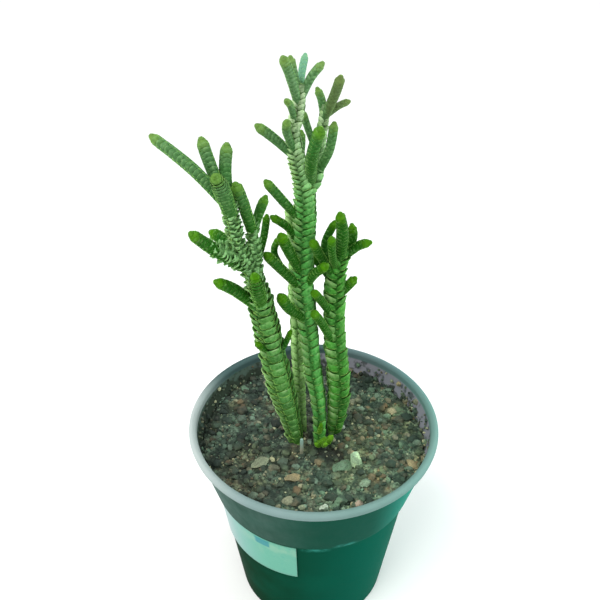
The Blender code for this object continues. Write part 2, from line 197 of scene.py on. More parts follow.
# %% [markdown]
# A second class is the material itself, and one method of it adds any other node. Most finishes here are
# a base colour with coats laid over it, as paint, dust and dirt lie on the real thing: each coat is a
# colour and the share of the surface that it covers.

# %% Materials
def fill(socket, value):
    """Set a socket's own value. A colour is red, green and blue as light energy from 0 to 1."""
    socket.default_value = (*value, 1.0) if socket.type == "RGBA" else value


class Paint:
    """A new material. Its constants go straight to the shader's own sockets."""

    def __init__(self, name, **constants):
        self.material = bpy.data.materials.new(name)
        self.material.use_nodes = True
        self.tree = self.material.node_tree
        self.shader = self.tree.nodes["Principled BSDF"]
        for socket, value in constants.items():
            fill(self.shader.inputs[socket.replace("_", " ")], value)

    def node(self, kind, settings=None, sockets=None, out=0):
        """Add a node: its settings first, then the values or links of its sockets."""
        node = self.tree.nodes.new("ShaderNode" + kind)
        for key, value in (settings or {}).items():
            setattr(node, key, value)
        for key, value in (sockets or {}).items():
            if isinstance(value, Wire):
                self.tree.links.new(value.socket, node.inputs[key])
            else:
                fill(node.inputs[key], value)
        return Wire(self, node.outputs[out])

    def feed(self, **sockets):
        """Link patterns to the shader."""
        for key, value in sockets.items():
            self.tree.links.new(value.socket, self.shader.inputs[key.replace("_", " ")])

    def place(self, scale=(1, 1, 1)):
        """Place on the piece, in millimetres times the scale."""
        spot = self.node("TexCoord", out="Object")
        size = [part / MM for part in scale]
        return self.node("VectorMath", {"operation": "MULTIPLY"}, {0: spot, 1: size})

    def cloud(self, size, detail, stretch=(1, 1, 1)):
        """Soft noise from 0 to 1 with lumps of about this size in millimetres."""
        sockets = {"Vector": self.place(stretch), "Scale": 1 / size, "Detail": detail}
        return self.node("TexNoise", None, sockets)

    def step(self, value, low, high):
        """0 below low, 1 above high, and a soft step between them."""
        settings = {"interpolation_type": "SMOOTHSTEP"}
        return self.node("MapRange", settings, {"Value": value, "From Min": low, "From Max": high})

    def band(self, value, start, full, fading, gone):
        """1 from full to fading, 0 before start and after gone."""
        return self.step(value, start, full) * self.step(value, gone, fading)

    def mix(self, share, first, second, blend="MIX"):
        """One colour over another by a share."""
        settings = {"data_type": "RGBA", "blend_type": blend}
        return self.node("Mix", settings, {0: share, 6: first, 7: second}, out=2)

    def coats(self, surface, *coats):
        """Lay colours over a surface one after another, each with its share."""
        for share, coat in coats:
            surface = self.mix(share, surface, coat)
        return surface

    def times(self, share, surface, factors):
        """Multiply a colour by factors, in part."""
        return self.mix(share, surface, self.mix(1.0, surface, factors, "MULTIPLY"))

    def kept(self, name, out):
        """The numbers that the mesh keeps under a name."""
        return self.node("Attribute", {"attribute_name": name}, out=out)

    def from_axis(self, x, y):
        """Distance from the pot's axis."""
        return self.node("Math", {"operation": "SQRT"}, {0: x * x + y * y})

    def axes(self, spot=None):
        """The three coordinates of a place, each as a number."""
        split = self.node("SeparateXYZ", None, {0: spot or self.place()})
        return [Wire(self, socket) for socket in split.socket.node.outputs]

    def bump(self, height, strength, distance):
        """Relief from a height pattern; distance is its depth in millimetres."""
        sockets = {"Height": height, "Strength": strength, "Distance": distance * MM}
        return self.node("Bump", None, sockets)


print("helpers for materials are ready")

# %% [markdown]
# ## Pot
# The pot is thin injection moulded polypropylene: a tapered body, a small step, a flared collar and a
# rolled lip. A profile could be spun round the axis in one go. Here the pot grows from its base instead,
# one extrusion and one resize at a time, up the outside, over the lip and down the inside, because
# each ring is then a plain pair of numbers that can be changed by itself.

# %% Rings of the pot
RIM_RADIUS = 45.0
POT_HEIGHT = 80.0
BASE_RADIUS = 28.3
STEP_HEIGHT = 53.7
STEP_RADIUS = 35.8
WALL = 1.2
FLOOR = 1.6
LIP_HEIGHT = 2.9
COLLAR_INSET = 1.6
POT_SIDES = 144
LIP_REACH, LIP_RISE = 1.4, 1.3  # half the lip's round, outwards and upwards


def collar_radius(height):
    """Outer radius of the flared collar between the step and the lip, in mm."""
    start = STEP_RADIUS + WALL
    share = (height - STEP_HEIGHT) / (POT_HEIGHT - LIP_HEIGHT - STEP_HEIGHT)
    return start + (RIM_RADIUS - COLLAR_INSET - start) * share


def body_radius(height):
    """Outer radius of the tapered body below the step, in mm."""
    return BASE_RADIUS + (STEP_RADIUS - BASE_RADIUS) * height / STEP_HEIGHT


def lip_ring(degrees):
    """A point on the round of the lip, from 0 outside over 90 on top to 180 inside."""
    angle = math.radians(degrees)
    reach = RIM_RADIUS - LIP_REACH + LIP_REACH * math.cos(angle)
    return reach, POT_HEIGHT - LIP_RISE + LIP_RISE * math.sin(angle)


under_lip = POT_HEIGHT - LIP_HEIGHT
outside = [(BASE_RADIUS - 0.9, 0.0), (BASE_RADIUS - 0.35, 0.15), (body_radius(0.5), 0.5)]
outside += [(body_radius(height), height) for height in (1.2, 10, 20, 30, 40, 50, 53.0)]
outside += [(STEP_RADIUS + 0.2, 53.3), (STEP_RADIUS + 0.95, 53.5), (STEP_RADIUS + WALL, 53.9)]
outside += [(collar_radius(height), height) for height in (55, 60, 65, 70, 75, under_lip - 0.2)]
outside += [(RIM_RADIUS - 0.9, under_lip + 0.05), (RIM_RADIUS - 0.3, under_lip + 0.4)]
outside += [lip_ring(degrees) for degrees in range(0, 181, 15)]
inside = [(RIM_RADIUS - 2.7, POT_HEIGHT - 2.4), (collar_radius(under_lip) - WALL, under_lip - 0.3)]
inside += [(collar_radius(height) - WALL, height) for height in (72, 68, 60, 55.4)]
inside += [(STEP_RADIUS - WALL, 53.3), (body_radius(30) - WALL, 30), (body_radius(FLOOR) - WALL, FLOOR)]
print(len(outside + inside), "rings")

# %% Grow the pot
def grow(piece, rings):
    """Extrude the selected edge up through rings of (radius, height) in mm."""
    radius, height = rings[0]
    for next_radius, next_height in rings[1:]:
        pull((next_height - height) * MM)
        resize(next_radius / radius, 1, (0, 0, next_height * MM))
        radius, height = next_radius, next_height


pot = disc("pot_fine", POT_SIDES, outside[0][0] * MM)
grow(pot, outside + inside)
outwards()
close(pot, 40)
report(pot)

# %% [markdown]
# Six round drain holes go through the base. They are cut with a Boolean modifier and a ring of short
# cylinders, bevelled so that their walls flare a little, and they are seen only from below.

# %% Cut the drain holes
DRAIN_HOLES = 6
DRAIN_CIRCLE = 19.0
DRAIN_RADIUS = 3.0
DRAIN_FLARE = 1.1
cutters = []
for number in range(DRAIN_HOLES):
    angle = math.tau * number / DRAIN_HOLES
    spot = (DRAIN_CIRCLE * MM * math.cos(angle), DRAIN_CIRCLE * MM * math.sin(angle), FLOOR / 2 * MM)
    cutter = begin(
        bpy.ops.mesh.primitive_cylinder_add, "drain_cutter", vertices=24, radius=DRAIN_RADIUS * MM,
        depth=3 * FLOOR * MM, location=spot,
    )
    pick(cutter, lambda co: co.z < 0)
    resize(DRAIN_FLARE, 1, spot)
    close(cutter)
    cutters.append(cutter)
for cutter in cutters:
    apply(pot, "BOOLEAN", operation="DIFFERENCE", object=cutter, solver="EXACT")
    bpy.data.objects.remove(cutter, do_unlink=True)
report(pot)

# %% [markdown]
# The plastic is a deep saturated green, painted brighter towards the right, where light comes through the
# wall, and the right of the collar carries a painted teal reflection of the light from that side. The lip
# is a pale grey-teal ring, partly rubbed and dusty and partly a painted highlight: whiter and a little
# lilac on the left, where the light falls, with painted shade at its inner edge and at the back on the
# left. Dust, together with a painted bluish-grey reflection, pales and dulls the left of the collar. The
# step holds two broken streaks that are partly pale dusty smudges and partly painted highlight. Dried
# soil smears the grey inner wall, which is painted darker on the left, in shade, and paler on the right,
# where the light falls.
# Each of these is a mask made from place and noise, and the dirt also changes the roughness and the
# relief, because a dusty place is both paler and duller.

# %% Finish of the pot
COLLAR_SLOPE = 0.2735  # how far the collar widens for each millimetre of height

paint = Paint("green_plastic", Specular_IOR_Level=0.002)
mix, step, cloud = paint.mix, paint.step, paint.cloud
x, y, height = paint.axes()
radius = paint.from_axis(x, y)
broad = cloud(18, 3)
fine = cloud(0.35, 4)
streaks = cloud(1.6, 3, stretch=(1, 1, 0.06))
collar = step(height, 53.4, 55.0)
lip = step(height, 76.6, 77.4)
green = paint.coats(
    # Painted light: the green is brighter towards the right, where light comes through the wall.
    mix(step(x, -30, 34), (0.003, 0.028, 0.011), (0.002, 0.096, 0.064)),
    (step(broad, 0.4, 0.7) * 0.35, (0.002, 0.085, 0.052)),
    (collar * 0.5, (0.006, 0.052, 0.034)),
    # Painted reflection: a bright teal patch on the right of the collar, from the light on that side.
    (collar * step(x, 18, 40) * 0.8, (0.022, 0.33, 0.25)),
)
# Dust, and a painted bluish-grey reflection of the light from the left, growing towards the left of the
# collar.
dust_and_reflection = collar * (0.02 + step(x, 4, -22) * 0.12 + step(x, -24, -42) * 0.3)
dust_and_reflection = dust_and_reflection * (0.5 + cloud(5, 4)) * (0.7 + streaks * 0.6)
# Painted shade and light on the lip at the back: dark on the left, paler on the right.
back = mix(step(x, -4, 24), (0.04, 0.074, 0.076), (0.15, 0.22, 0.232))
lilac = step(x, 26, -26) * (0.2 + cloud(9, 4) * 0.7)
# The lip: partly rubbed and dusty, partly a painted highlight that is whiter on the left, where the light
# falls.
lip_wear_and_highlight = paint.coats(
    mix(step(x, -20, -43), (0.175, 0.285, 0.262), (0.56, 0.62, 0.59)),
    (lilac * 0.6, (0.31, 0.345, 0.385)),
    (step(y, 6, 28), back),
    # Painted shade on the lip's inner edge, where it turns down into the pot.
    (step(radius, 44.4, 43.2) * 0.28, (0.085, 0.13, 0.125)),
)
# Two broken streaks on the step: partly pale dusty smudges, partly painted highlight.
ledge_dust_and_highlight = paint.band(height, 49.6, 51.6, 52.6, 53.6) * paint.band(x, -5.5, -2.0, 3.0, 6.5)
ledge_dust_and_highlight = ledge_dust_and_highlight + paint.band(height, 51.2, 52.8, 54.4, 56.4) * paint.band(x, 5.6, 9.0, 12.5, 16.5)
ledge_dust_and_highlight = ledge_dust_and_highlight * step(y, 0, -10) * step(cloud(2.2, 3), 0.24, 0.66)
within = step(radius - height * COLLAR_SLOPE, 22.0, 21.4) * step(height, 60, 62) * (1 - lip)
# The inner wall: painted shade on the left, paler grey on the right, where the light falls, with dark
# blotches of soil.
shaded = mix(step(x, -30, 12), (0.064, 0.096, 0.076), (0.245, 0.24, 0.28))
shaded = mix(step(cloud(3.5, 4), 0.5, 0.62) * 0.7, shaded, (0.03, 0.042, 0.036))
smears = within * step(cloud(4, 5) + (76 - height) * 0.06 - x * 0.003, 0.6, 0.74)
# All coats together: dirt and wear, with the painted light, reflections and shade above.
soiled_and_painted_light = paint.coats(
    green,
    (dust_and_reflection, (0.27, 0.36, 0.35)),
    (lip * (0.72 + broad * 0.3), lip_wear_and_highlight),
    (ledge_dust_and_highlight * 0.55, (0.045, 0.31, 0.25)),
    (within * 0.95, shaded),
    (smears * 0.9, (0.03, 0.04, 0.028)),
)
rough = 0.36 + dust_and_reflection * 0.4 + lip * 0.2 + smears * 0.4 + fine * 0.08
relief = fine * 0.4 + streaks * 0.3 + cloud(2.5, 4) * 0.6 + smears * 0.8
paint.feed(Base_Color=soiled_and_painted_light, Roughness=rough, Normal=paint.bump(relief, 0.35, 0.15))
pot.data.materials.append(paint.material)
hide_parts("pot")
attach(pot, "root")
print("the pot stands for node pot")

# %% [markdown]
# ## Label
# A paper strip is stuck round the body just under the collar. It is cut from a cone that is a little
# wider than the body, so that it follows the taper: the points of the cone's wall beyond the strip's two
# ends are deleted, and Solidify gives the paper its thickness. Unwrapping a flat strip round the pot
# would also work, but its edges would then have to be matched to the taper by eye.

# %% Cut the paper
LABEL_TOP = 52.5
LABEL_BOTTOM = 33.5
LABEL_START = 9.5
LABEL_SWEEP = 100.0
PAPER = 0.25
AIR = 0.3  # between pieces that touch, as in the frame

label = begin(
    bpy.ops.mesh.primitive_cone_add, "label_fine", vertices=360,
    radius1=(body_radius(LABEL_BOTTOM) + AIR) * MM, radius2=(body_radius(LABEL_TOP) + AIR) * MM,
    depth=(LABEL_TOP - LABEL_BOTTOM) * MM, end_fill_type="NOTHING",
    location=(0, 0, (LABEL_TOP + LABEL_BOTTOM) / 2 * MM),
)


def label_angle(co):
    """Degrees from the front towards -X."""
    return math.degrees(math.atan2(-co.x, -co.y))


def beyond(co):
    """Is the point outside the strip, with a little slack at both ends?"""
    return not LABEL_START - 0.2 <= label_angle(co) <= LABEL_START + LABEL_SWEEP + 0.2


pick(label, beyond)
bpy.ops.mesh.delete(type="VERT")
bpy.ops.mesh.select_all(action="SELECT")
bpy.ops.mesh.subdivide(number_cuts=8)
close(label, 40)
apply(label, "SOLIDIFY", thickness=PAPER * MM, offset=1.0)
apply(label, "BEVEL", width=0.05 * MM, segments=2, limit_method="ANGLE")
report(label)

# %% [markdown]
# The print on it is left generic: a soft teal block on mint paper that pales and turns bluish round the
# left. A pattern that follows the strip needs a place along it and a place up it, so both are stored on
# the mesh as an attribute.

# %% Finish of the label
def store(piece, name, values):
    """Keep four numbers for every point of the piece."""
    layer = piece.data.attributes.new(name, "FLOAT_COLOR", "POINT")
    layer.data.foreach_set("color", np.asarray(values, dtype=np.float32).ravel())


store(label, "paper", [
    ((label_angle(vert.co) - LABEL_START) / LABEL_SWEEP,
     (vert.co.z / MM - LABEL_BOTTOM) / (LABEL_TOP - LABEL_BOTTOM), 0, 1)
    for vert in label.data.vertices
])
paint = Paint("label_paper", Specular_IOR_Level=0.3)
mix, step, cloud = paint.mix, paint.step, paint.cloud
along, up, _ = paint.axes(paint.kept("paper", "Vector"))
fibre = cloud(0.6, 5)
block = paint.band(along, 0.16, 0.17, 0.25, 0.27) * paint.band(up, 0.77, 0.81, 0.96, 0.99)
block = block + step(cloud(1.5, 2), 0.66, 0.74) * 0.35
# Painted shadow: a darker line along the paper's bottom edge and its start edge.
edge = step(up + cloud(3, 4) * 0.1, 0.14, 0.03) + step(along + fibre * 0.02, 0.03, 0.005)
paper = paint.coats(
    mix(fibre, (0.078, 0.33, 0.23), (0.122, 0.385, 0.29)),
    (step(cloud(5, 3), 0.42, 0.64) * step(up, 0.35, 0.9) * 0.6, (0.23, 0.42, 0.3)),
    (step(along, 0.18, 0.45) * 0.75, (0.2, 0.395, 0.37)),
    (step(along, 0.36, 0.6) * 0.7, (0.42, 0.5, 0.52)),
    (block * 0.9, (0.016, 0.215, 0.245)),
    (edge * 0.35, (0.06, 0.24, 0.18)),
)
paint.feed(
    Base_Color=paper, Roughness=0.42 + fibre * 0.2,
    Normal=paint.bump(fibre + cloud(6, 3) * 2, 0.3, 0.05),
)
label.data.materials.append(paint.material)
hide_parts("label")
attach(label, "root")
print("the label runs from", LABEL_START, "to", LABEL_START + LABEL_SWEEP, "degrees")

# %% [markdown]
# ## Soil
# The soil is a block that fills the pot, with a crumbly top. The block grows upwards like the pot, and
# its top is then closed with many narrow rings, so that there are enough points for Displace modifiers
# to raise lumps of three sizes. Sculpting would look the same from afar but can't be repeated exactly.

# %% Grow the soil
SOIL_LEVEL = 71.0
SOIL_SIDES = 220
TOP_RINGS = 72
low_wall = WALL + AIR
soil_radius = collar_radius(SOIL_LEVEL) - low_wall
filling = [(body_radius(1.9) - low_wall, 1.9), (STEP_RADIUS - low_wall, 53.1)]
filling += [(collar_radius(55.2) - low_wall, 55.5), (soil_radius, SOIL_LEVEL)]
filling += [(soil_radius * (1 - ring / TOP_RINGS), SOIL_LEVEL) for ring in range(1, TOP_RINGS)]
soil = disc("soil_fine", SOIL_SIDES, filling[0][0] * MM, (0, 0, filling[0][1] * MM))
grow(soil, filling)
bpy.ops.mesh.edge_face_add()
outwards()
close(soil)
top = soil.vertex_groups.new(name="top")
top.add([vert.index for vert in soil.data.vertices if vert.co.z > (SOIL_LEVEL - 0.1) * MM], 1, "REPLACE")
for size, depth in ((9.0, 1.8), (2.8, 2.4), (1.1, 0.9)):
    lumps = bpy.data.textures.new("lumps", "CLOUDS")
    lumps.noise_scale = size * MM
    lumps.noise_depth = 2
    apply(
        soil, "DISPLACE", texture=lumps, texture_coords="LOCAL", direction="Z", vertex_group="top",
        strength=depth * MM, mid_level=0.5,
    )
report(soil)

# %% [markdown]
# Thousands of crumbs, chips and pebbles lie on the soil. Each kind is modelled once, from a ball of a
# few faces whose corners are pushed about, and copied with its own size, turn and colour. Copies are
# gathered into one mesh with plain arithmetic on their points, which is far faster than joining a
# thousand objects one after another.

# %% Model once, copy often
class Heap:
    """Gathers copies of small models, each with four numbers per point."""

    def __init__(self, name):
        self.name = name
        self.points, self.faces, self.tags = [], [], []
        self.count = 0

    def put(self, model, matrix, tags):
        """Add one copy. The model is (points, faces); tags is one row, or one row per point."""
        points, faces = model
        moved = points @ np.array(matrix.to_3x3()).T + np.array(matrix.translation)
        self.points.append(moved)
        self.faces += [[corner + self.count for corner in face] for face in faces]
        self.tags.append(np.broadcast_to(np.asarray(tags, float), (len(points), 4)))
        self.count += len(points)

    def build(self, layer, angle=None):
        """Turn all copies into one object."""
        mesh = bpy.data.meshes.new(self.name)
        mesh.from_pydata(np.concatenate(self.points).tolist(), [], self.faces)
        piece = bpy.data.objects.new(self.name, mesh)
        bpy.context.scene.collection.objects.link(piece)
        store(piece, layer, np.concatenate(self.tags))
        mesh.shade_smooth()
        if angle is not None:
            mesh.set_sharp_from_angle(angle=math.radians(angle))
        return piece


def as_model(piece):
    """Points and faces of a finished model, which is then removed."""
    points = np.array([vert.co for vert in piece.data.vertices])
    faces = [list(face.vertices) for face in piece.data.polygons]
    bpy.data.objects.remove(piece, do_unlink=True)
    return points, faces


def rock(name, levels, roughness, seed):
    """A rough stone of unit size."""
    piece = begin(bpy.ops.mesh.primitive_ico_sphere_add, name, subdivisions=levels, radius=1)
    for _ in range(3):
        seed += 1
        shift = Vector((seed * 1.7, 0.3, 2.1))
        pick(piece, lambda co: noise.noise(co * 1.1 + shift) > 0.12)
        resize(1 - roughness, 1 - roughness)
    bpy.ops.mesh.select_all(action="SELECT")
    bpy.ops.transform.vertex_random(offset=roughness * 0.35, seed=seed)
    outwards()
    return as_model(close(piece))


GRIT = [rock("grit", 1, 0.18, seed) for seed in (3, 11, 23, 37)]
PEBBLES = [rock("pebble", 2, 0.15, seed) for seed in (5, 17, 29)]
print(len(GRIT), "kinds of grit,", len(PEBBLES), "kinds of pebble")

# %% [markdown]
# The larger stones sit where the photograph shows them. The rest is scattered by a seeded random
# generator, denser for the small sizes, and each crumb is sunk a little into the surface below it,
# which a ray cast straight down finds. Some crumbs also cling to the wall just over the soil.

# %% Scatter the soil's crumbs
STONES = [
    (14.8, -13.8, 5.0, 6.2, "mint"), (10.3, -14.6, 8.4, 2.8, "sage"), (-19.1, -12.6, 9.0, 1.4, "tan"),
    (-7.4, -20.2, 6.2, 1.4, "orange"), (1.5, -13.0, 4.0, 1.6, "straw"), (34.9, -13.2, 6.0, 1.6, "orange"),
    (16.7, 9.6, 4.4, 1.3, "tan"), (14.5, -32.3, 4.0, 1.2, "pink"), (3.1, -34.2, 3.4, 2.8, "chalk"),
    (-4.2, -33.6, 3.0, 1.4, "tan"), (-26.8, 26.5, 5.4, 1.3, "sage"), (11.1, 4.7, 2.4, 1.0, "chalk"),
    (-14.9, -11.6, 2.6, 1.0, "straw"), (11.8, -5.2, 1.8, 1.0, "mint"), (-18.0, 5.7, 2.6, 0.8, "sage"),
    (28.1, 11.1, 4.0, 1.2, "sage"), (24.0, 0.9, 2.8, 0.9, "straw"), (-27.7, -3.2, 2.6, 0.8, "sage"),
]
SHADES = {
    "mint": (0.5, 0.76, 0.48), "sage": (0.14, 0.26, 0.165), "tan": (0.25, 0.3, 0.19),
    "orange": (0.3, 0.26, 0.14), "straw": (0.42, 0.44, 0.26), "pink": (0.26, 0.21, 0.17),
    "chalk": (0.5, 0.6, 0.48), "peat": (0.014, 0.03, 0.02), "bark": (0.088, 0.082, 0.05),
    "humus": (0.06, 0.11, 0.07), "clay": (0.2, 0.21, 0.135), "slate": (0.115, 0.18, 0.128),
}
COARSE = ["peat"] * 8 + ["humus"] * 9 + ["bark"] * 5 + ["clay"] * 4 + ["slate"] * 4
FINE = COARSE + ["clay", "sage", "tan", "straw", "straw"]
SIZES = [(0.5, 1500, FINE), (0.95, 1200, FINE), (1.8, 420, COARSE), (3.0, 130, COARSE)]
STONE_WIDTH = 0.72  # of a stone's length
EDGE = 0.5  # how far crumbs stay from the soil's edge
WALL_CRUMBS = 520
WALL_CLIMB = 5.5  # how far up the wall they cling


def surface(x, y):
    """Height of the soil under a place in mm, in metres, or None outside it."""
    hit, spot, _, _ = soil.ray_cast(Vector((x * MM, y * MM, 0.1)), Vector((0, 0, -1)))
    return spot.z if hit else None


def lay(heap, model, x, y, size, shade, sink, chance, light=1.0):
    """Lay one crumb of (length, width, height) in mm on the soil."""
    level = surface(x, y)
    if level is None:
        return
    turn = Matrix.Rotation(chance.uniform(0, math.tau), 4, "Z")
    turn = turn @ Matrix.Rotation(chance.uniform(-0.4, 0.4), 4, "X")
    scale = Matrix.Diagonal([part / 2 * MM for part in size] + [1])
    spot = Matrix.Translation((x * MM, y * MM, level + sink * MM))
    heap.put(model, spot @ turn @ scale, [part * light for part in SHADES[shade]] + [1])


chance = random.Random(7)
crumbs = Heap("soil_crumbs")
for x, y, length, rise, shade in STONES:
    size = (length, length * STONE_WIDTH, rise * 2)
    lay(crumbs, chance.choice(PEBBLES), x, y, size, shade, 0.15 * rise, chance)
for size, count, mixture in SIZES:
    for _ in range(count):
        reach = (soil_radius - EDGE) * math.sqrt(chance.random())
        angle = chance.uniform(0, math.tau)
        length = size * chance.uniform(0.7, 1.5)
        shape = (length * 1.2, length, length * chance.uniform(0.7, 1.0))
        kinds = PEBBLES if size > 1 else GRIT
        lay(crumbs, chance.choice(kinds), reach * math.cos(angle), reach * math.sin(angle),
            shape, chance.choice(mixture), 0.1 * length, chance, chance.uniform(0.6, 1.5))
for _ in range(WALL_CRUMBS):
    angle = chance.uniform(0, math.tau)
    level = SOIL_LEVEL + WALL_CLIMB * chance.random() ** 2
    reach = collar_radius(level) - WALL - 0.2
    spot = Vector((reach * math.cos(angle), reach * math.sin(angle), level))
    size = chance.uniform(0.25, 0.75) * chance.choice((1, 1, 1, 1, 2.2))
    scale = Matrix.Diagonal([size * MM] * 3 + [1])
    shade = SHADES[chance.choice(FINE)]
    place = Matrix.Translation(spot * MM) @ Matrix.Rotation(angle, 4, "Z")
    crumbs.put(chance.choice(GRIT), place @ scale, [*shade, 1])
crumbs = crumbs.build("shade", 30)
report(crumbs)

# %% [markdown]
# Potting mix is peat, bark and grit, so its colour changes at every scale: from wet and dry areas and
# warm brown patches down to pale specks. Its hollows are painted darker as shade, which a mask on height
# gives, and a painted shadow lies dark at the stems' feet. The crumbs take their colour from the
# attribute that each copy carries, with a finer noise on top. The palest stones keep theirs, as they do
# in the photograph.

# %% Finish of the soil
def weathered_and_shaded(paint, surface):
    """Wet hollows, warm patches, a drier right and front, and a painted shadow at the stems' feet."""
    step, cloud = paint.step, paint.cloud
    x, y, _ = paint.axes()
    wet = step(cloud(5.5, 2) + cloud(14, 2) * 0.5, 0.66, 0.82)
    warm = step(cloud(13, 2), 0.46, 0.62)
    dry = step(x - y * 0.6 + cloud(11, 3) * 50, 22, 52)
    # Painted shadow at the stems' feet, where they stand close together.
    across, deep = (x - 6.0) / 6.5, (y + 9.0) / 4.0
    foot_shadow = step(across * across + deep * deep, 1.0, 0.3)
    surface = paint.mix(wet * 0.75, surface, (0.01, 0.022, 0.016))
    surface = paint.times(warm * 0.6, surface, (1.8, 1.25, 0.9))
    surface = paint.times(dry * 0.4, surface, (3.5, 3.6, 3.2))
    return paint.mix(foot_shadow * 0.85, surface, (0.004, 0.007, 0.004))


paint = Paint("potting_mix", Roughness=0.95)
mix, step, cloud = paint.mix, paint.step, paint.cloud
_, _, height = paint.axes()
lumps = cloud(1.1, 5)
specks = step(paint.node("TexVoronoi", None, {"Vector": paint.place(), "Scale": 1.3}), 0.16, 0.05)
specks = specks * step(cloud(3, 2), 0.5, 0.62)
earth = paint.coats(
    mix(step(lumps, 0.35, 0.7), (0.014, 0.03, 0.02), (0.115, 0.178, 0.118)),
    (step(cloud(9, 3), 0.45, 0.7) * 0.5, (0.105, 0.092, 0.068)),
    (specks * 0.8, (0.26, 0.3, 0.19)),
    # Painted shade: darker in the soil's hollows.
    (step(height, 71.2, 69.9) * 0.8, (0.006, 0.01, 0.007)),
)
relief = cloud(0.5, 6) + lumps
paint.feed(Base_Color=weathered_and_shaded(paint, earth), Normal=paint.bump(relief, 0.8, 0.5))
soil.data.materials.append(paint.material)

paint = Paint("grit_and_stones", Roughness=0.85)
mix, step, cloud = paint.mix, paint.step, paint.cloud
shade = paint.kept("shade", "Color")
grain = cloud(0.5, 5)
stone = mix(step(grain, 0.3, 0.7), mix(0.45, shade, (0.02, 0.02, 0.015)), shade)
stone = mix(step(cloud(1.4, 3), 0.56, 0.7) * 0.45, stone, (0.07, 0.065, 0.045))
pale = step(paint.axes(shade)[1], 0.16, 0.26)
stone = mix(pale * 0.7, weathered_and_shaded(paint, stone), stone)
paint.feed(Base_Color=stone, Normal=paint.bump(grain, 0.6, 0.3))
crumbs.data.materials.append(paint.material)
for piece in (soil, crumbs):
    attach(piece, "root")
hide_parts("soil")
print("the soil stands for node soil")

# %% [markdown]
# ## Scale leaves
# A watch chain crassula is a column of thick scale leaves in opposite pairs, each pair a quarter turn
# from the one below, so that the leaves stand in four rows. One leaf is modelled by spinning its upright
# section round the stem's axis, which gives it the curve that clasps the stem, and then resizing the
# result strip by strip: the farther from the middle, the lower and closer to the stem. That turns the
# band into a pointed, keeled scale. The leaf is in its own units: 1 is the stem's radius across, and
# one leaf of a row to the next upwards.

# %% Model a leaf
LEAF_FOOT = -0.75
SAME_STRIP = 0.02  # radians within which points belong to one strip


def leaf(name, section, spread, drop, tuck, steps):
    """A scale leaf. The section is (out, up) points; spread is how far it clasps the stem, in degrees."""
    piece = disc(name, len(section), 1)
    bm = bmesh.from_edit_mesh(piece.data)
    for vert, (out, up) in zip(bm.verts, section):
        vert.co = (out, 0, up)
    bmesh.update_edit_mesh(piece.data)
    half = math.radians(spread)
    bpy.ops.mesh.select_all(action="SELECT")
    bpy.ops.mesh.spin(steps=steps, angle=2 * half, center=(0, 0, 0), axis=(0, 0, 1))
    for step in range(steps + 1):
        angle = abs(2 * half * step / steps)
        share = abs(2 * step / steps - 1)
        pick(piece, lambda co: abs(abs(math.atan2(co.y, co.x)) - angle) < SAME_STRIP)
        resize(1 - tuck * share ** 2, 1 - drop * share ** 1.6, (0, 0, LEAF_FOOT))
    outwards()
    close(piece)
    middle = sum((vert.co for vert in piece.data.vertices), Vector()) / len(piece.data.vertices)
    piece.data.transform(Matrix.Rotation(-math.atan2(middle.y, middle.x), 4, "Z"))
    return piece


OLD_SECTION = [
    (0.87, -0.75), (0.94, -0.45), (0.965, -0.05), (0.99, 0.3), (1.005, 0.45), (0.98, 0.52), (0.92, 0.28),
    (0.78, -0.3),
]
YOUNG_SECTION = [
    (0.9, -0.75), (0.97, -0.45), (0.98, -0.05), (0.985, 0.3), (0.975, 0.5), (0.92, 0.3), (0.85, -0.35),
]
old_leaf = leaf("old_leaf", OLD_SECTION, 41, 0.32, 0.16, 6)
upper_leaf = leaf("upper_leaf", OLD_SECTION, 46, 0.55, 0.14, 6)
young_leaf = leaf("young_leaf", YOUNG_SECTION, 56, 0.35, 0.02, 4)
for piece in (old_leaf, upper_leaf, young_leaf):
    report(piece)

# %% [markdown]
# A leaf is pale at its margin and tip and dark in the groove at its foot. How far up the leaf a point
# lies, and how near its keel, are worked out once on the model and stored with every copy. Two more
# plain models go with the leaves: a short joint of the stalk and the bud that closes a shoot.

# %% Tag the leaf
def tagged(piece):
    """The model, with how far up the leaf and how near its keel each point is."""
    points, faces = as_model(piece)
    angles = np.abs(np.arctan2(points[:, 1], points[:, 0]))
    keel = 1 - angles / angles.max()
    tops = {
        angle: points[np.abs(angles - angle) < SAME_STRIP, 2].max() for angle in np.unique(angles)
    }
    rise = np.array([
        (point[2] - LEAF_FOOT) / (tops[angle] - LEAF_FOOT) for point, angle in zip(points, angles)
    ])
    return (points, faces), rise, keel


OLD_LEAF = tagged(old_leaf)
UPPER_LEAF = tagged(upper_leaf)
YOUNG_LEAF = tagged(young_leaf)
joint = begin(bpy.ops.mesh.primitive_cylinder_add, "joint", vertices=8, radius=0.8, depth=1.4)
bpy.ops.transform.translate(value=(0, 0, 0.2))
pick(joint, lambda co: abs(co.z) > 0.6)
resize(0.9)
outwards()
JOINT = as_model(close(joint))
bud = begin(bpy.ops.mesh.primitive_uv_sphere_add, "bud", segments=12, ring_count=8, radius=1)
pick(bud, lambda co: co.z > 0.7)
resize(0.9, 0.95)
outwards()
BUD = as_model(close(bud))
print(len(OLD_LEAF[0][1]), "faces in an old leaf and", len(YOUNG_LEAF[0][1]), "in a young one")

# %% [markdown]
# ## Stems
# Each stem follows a smooth curve through a few points: x, y, height over the soil and width, in mm.
# These are the same points that the frame's stems follow, so the finer stem fills the same form. The
# left and the centre stem fork, and an old scaly branch carries one shoot of the left stem. A side shoot
# leaves its stem at a height, bends once and ends at a tip. Its row here gives the course that carries
# it, that height, the bend, the tip, its width and, where it narrows, the share that is left at the tip.

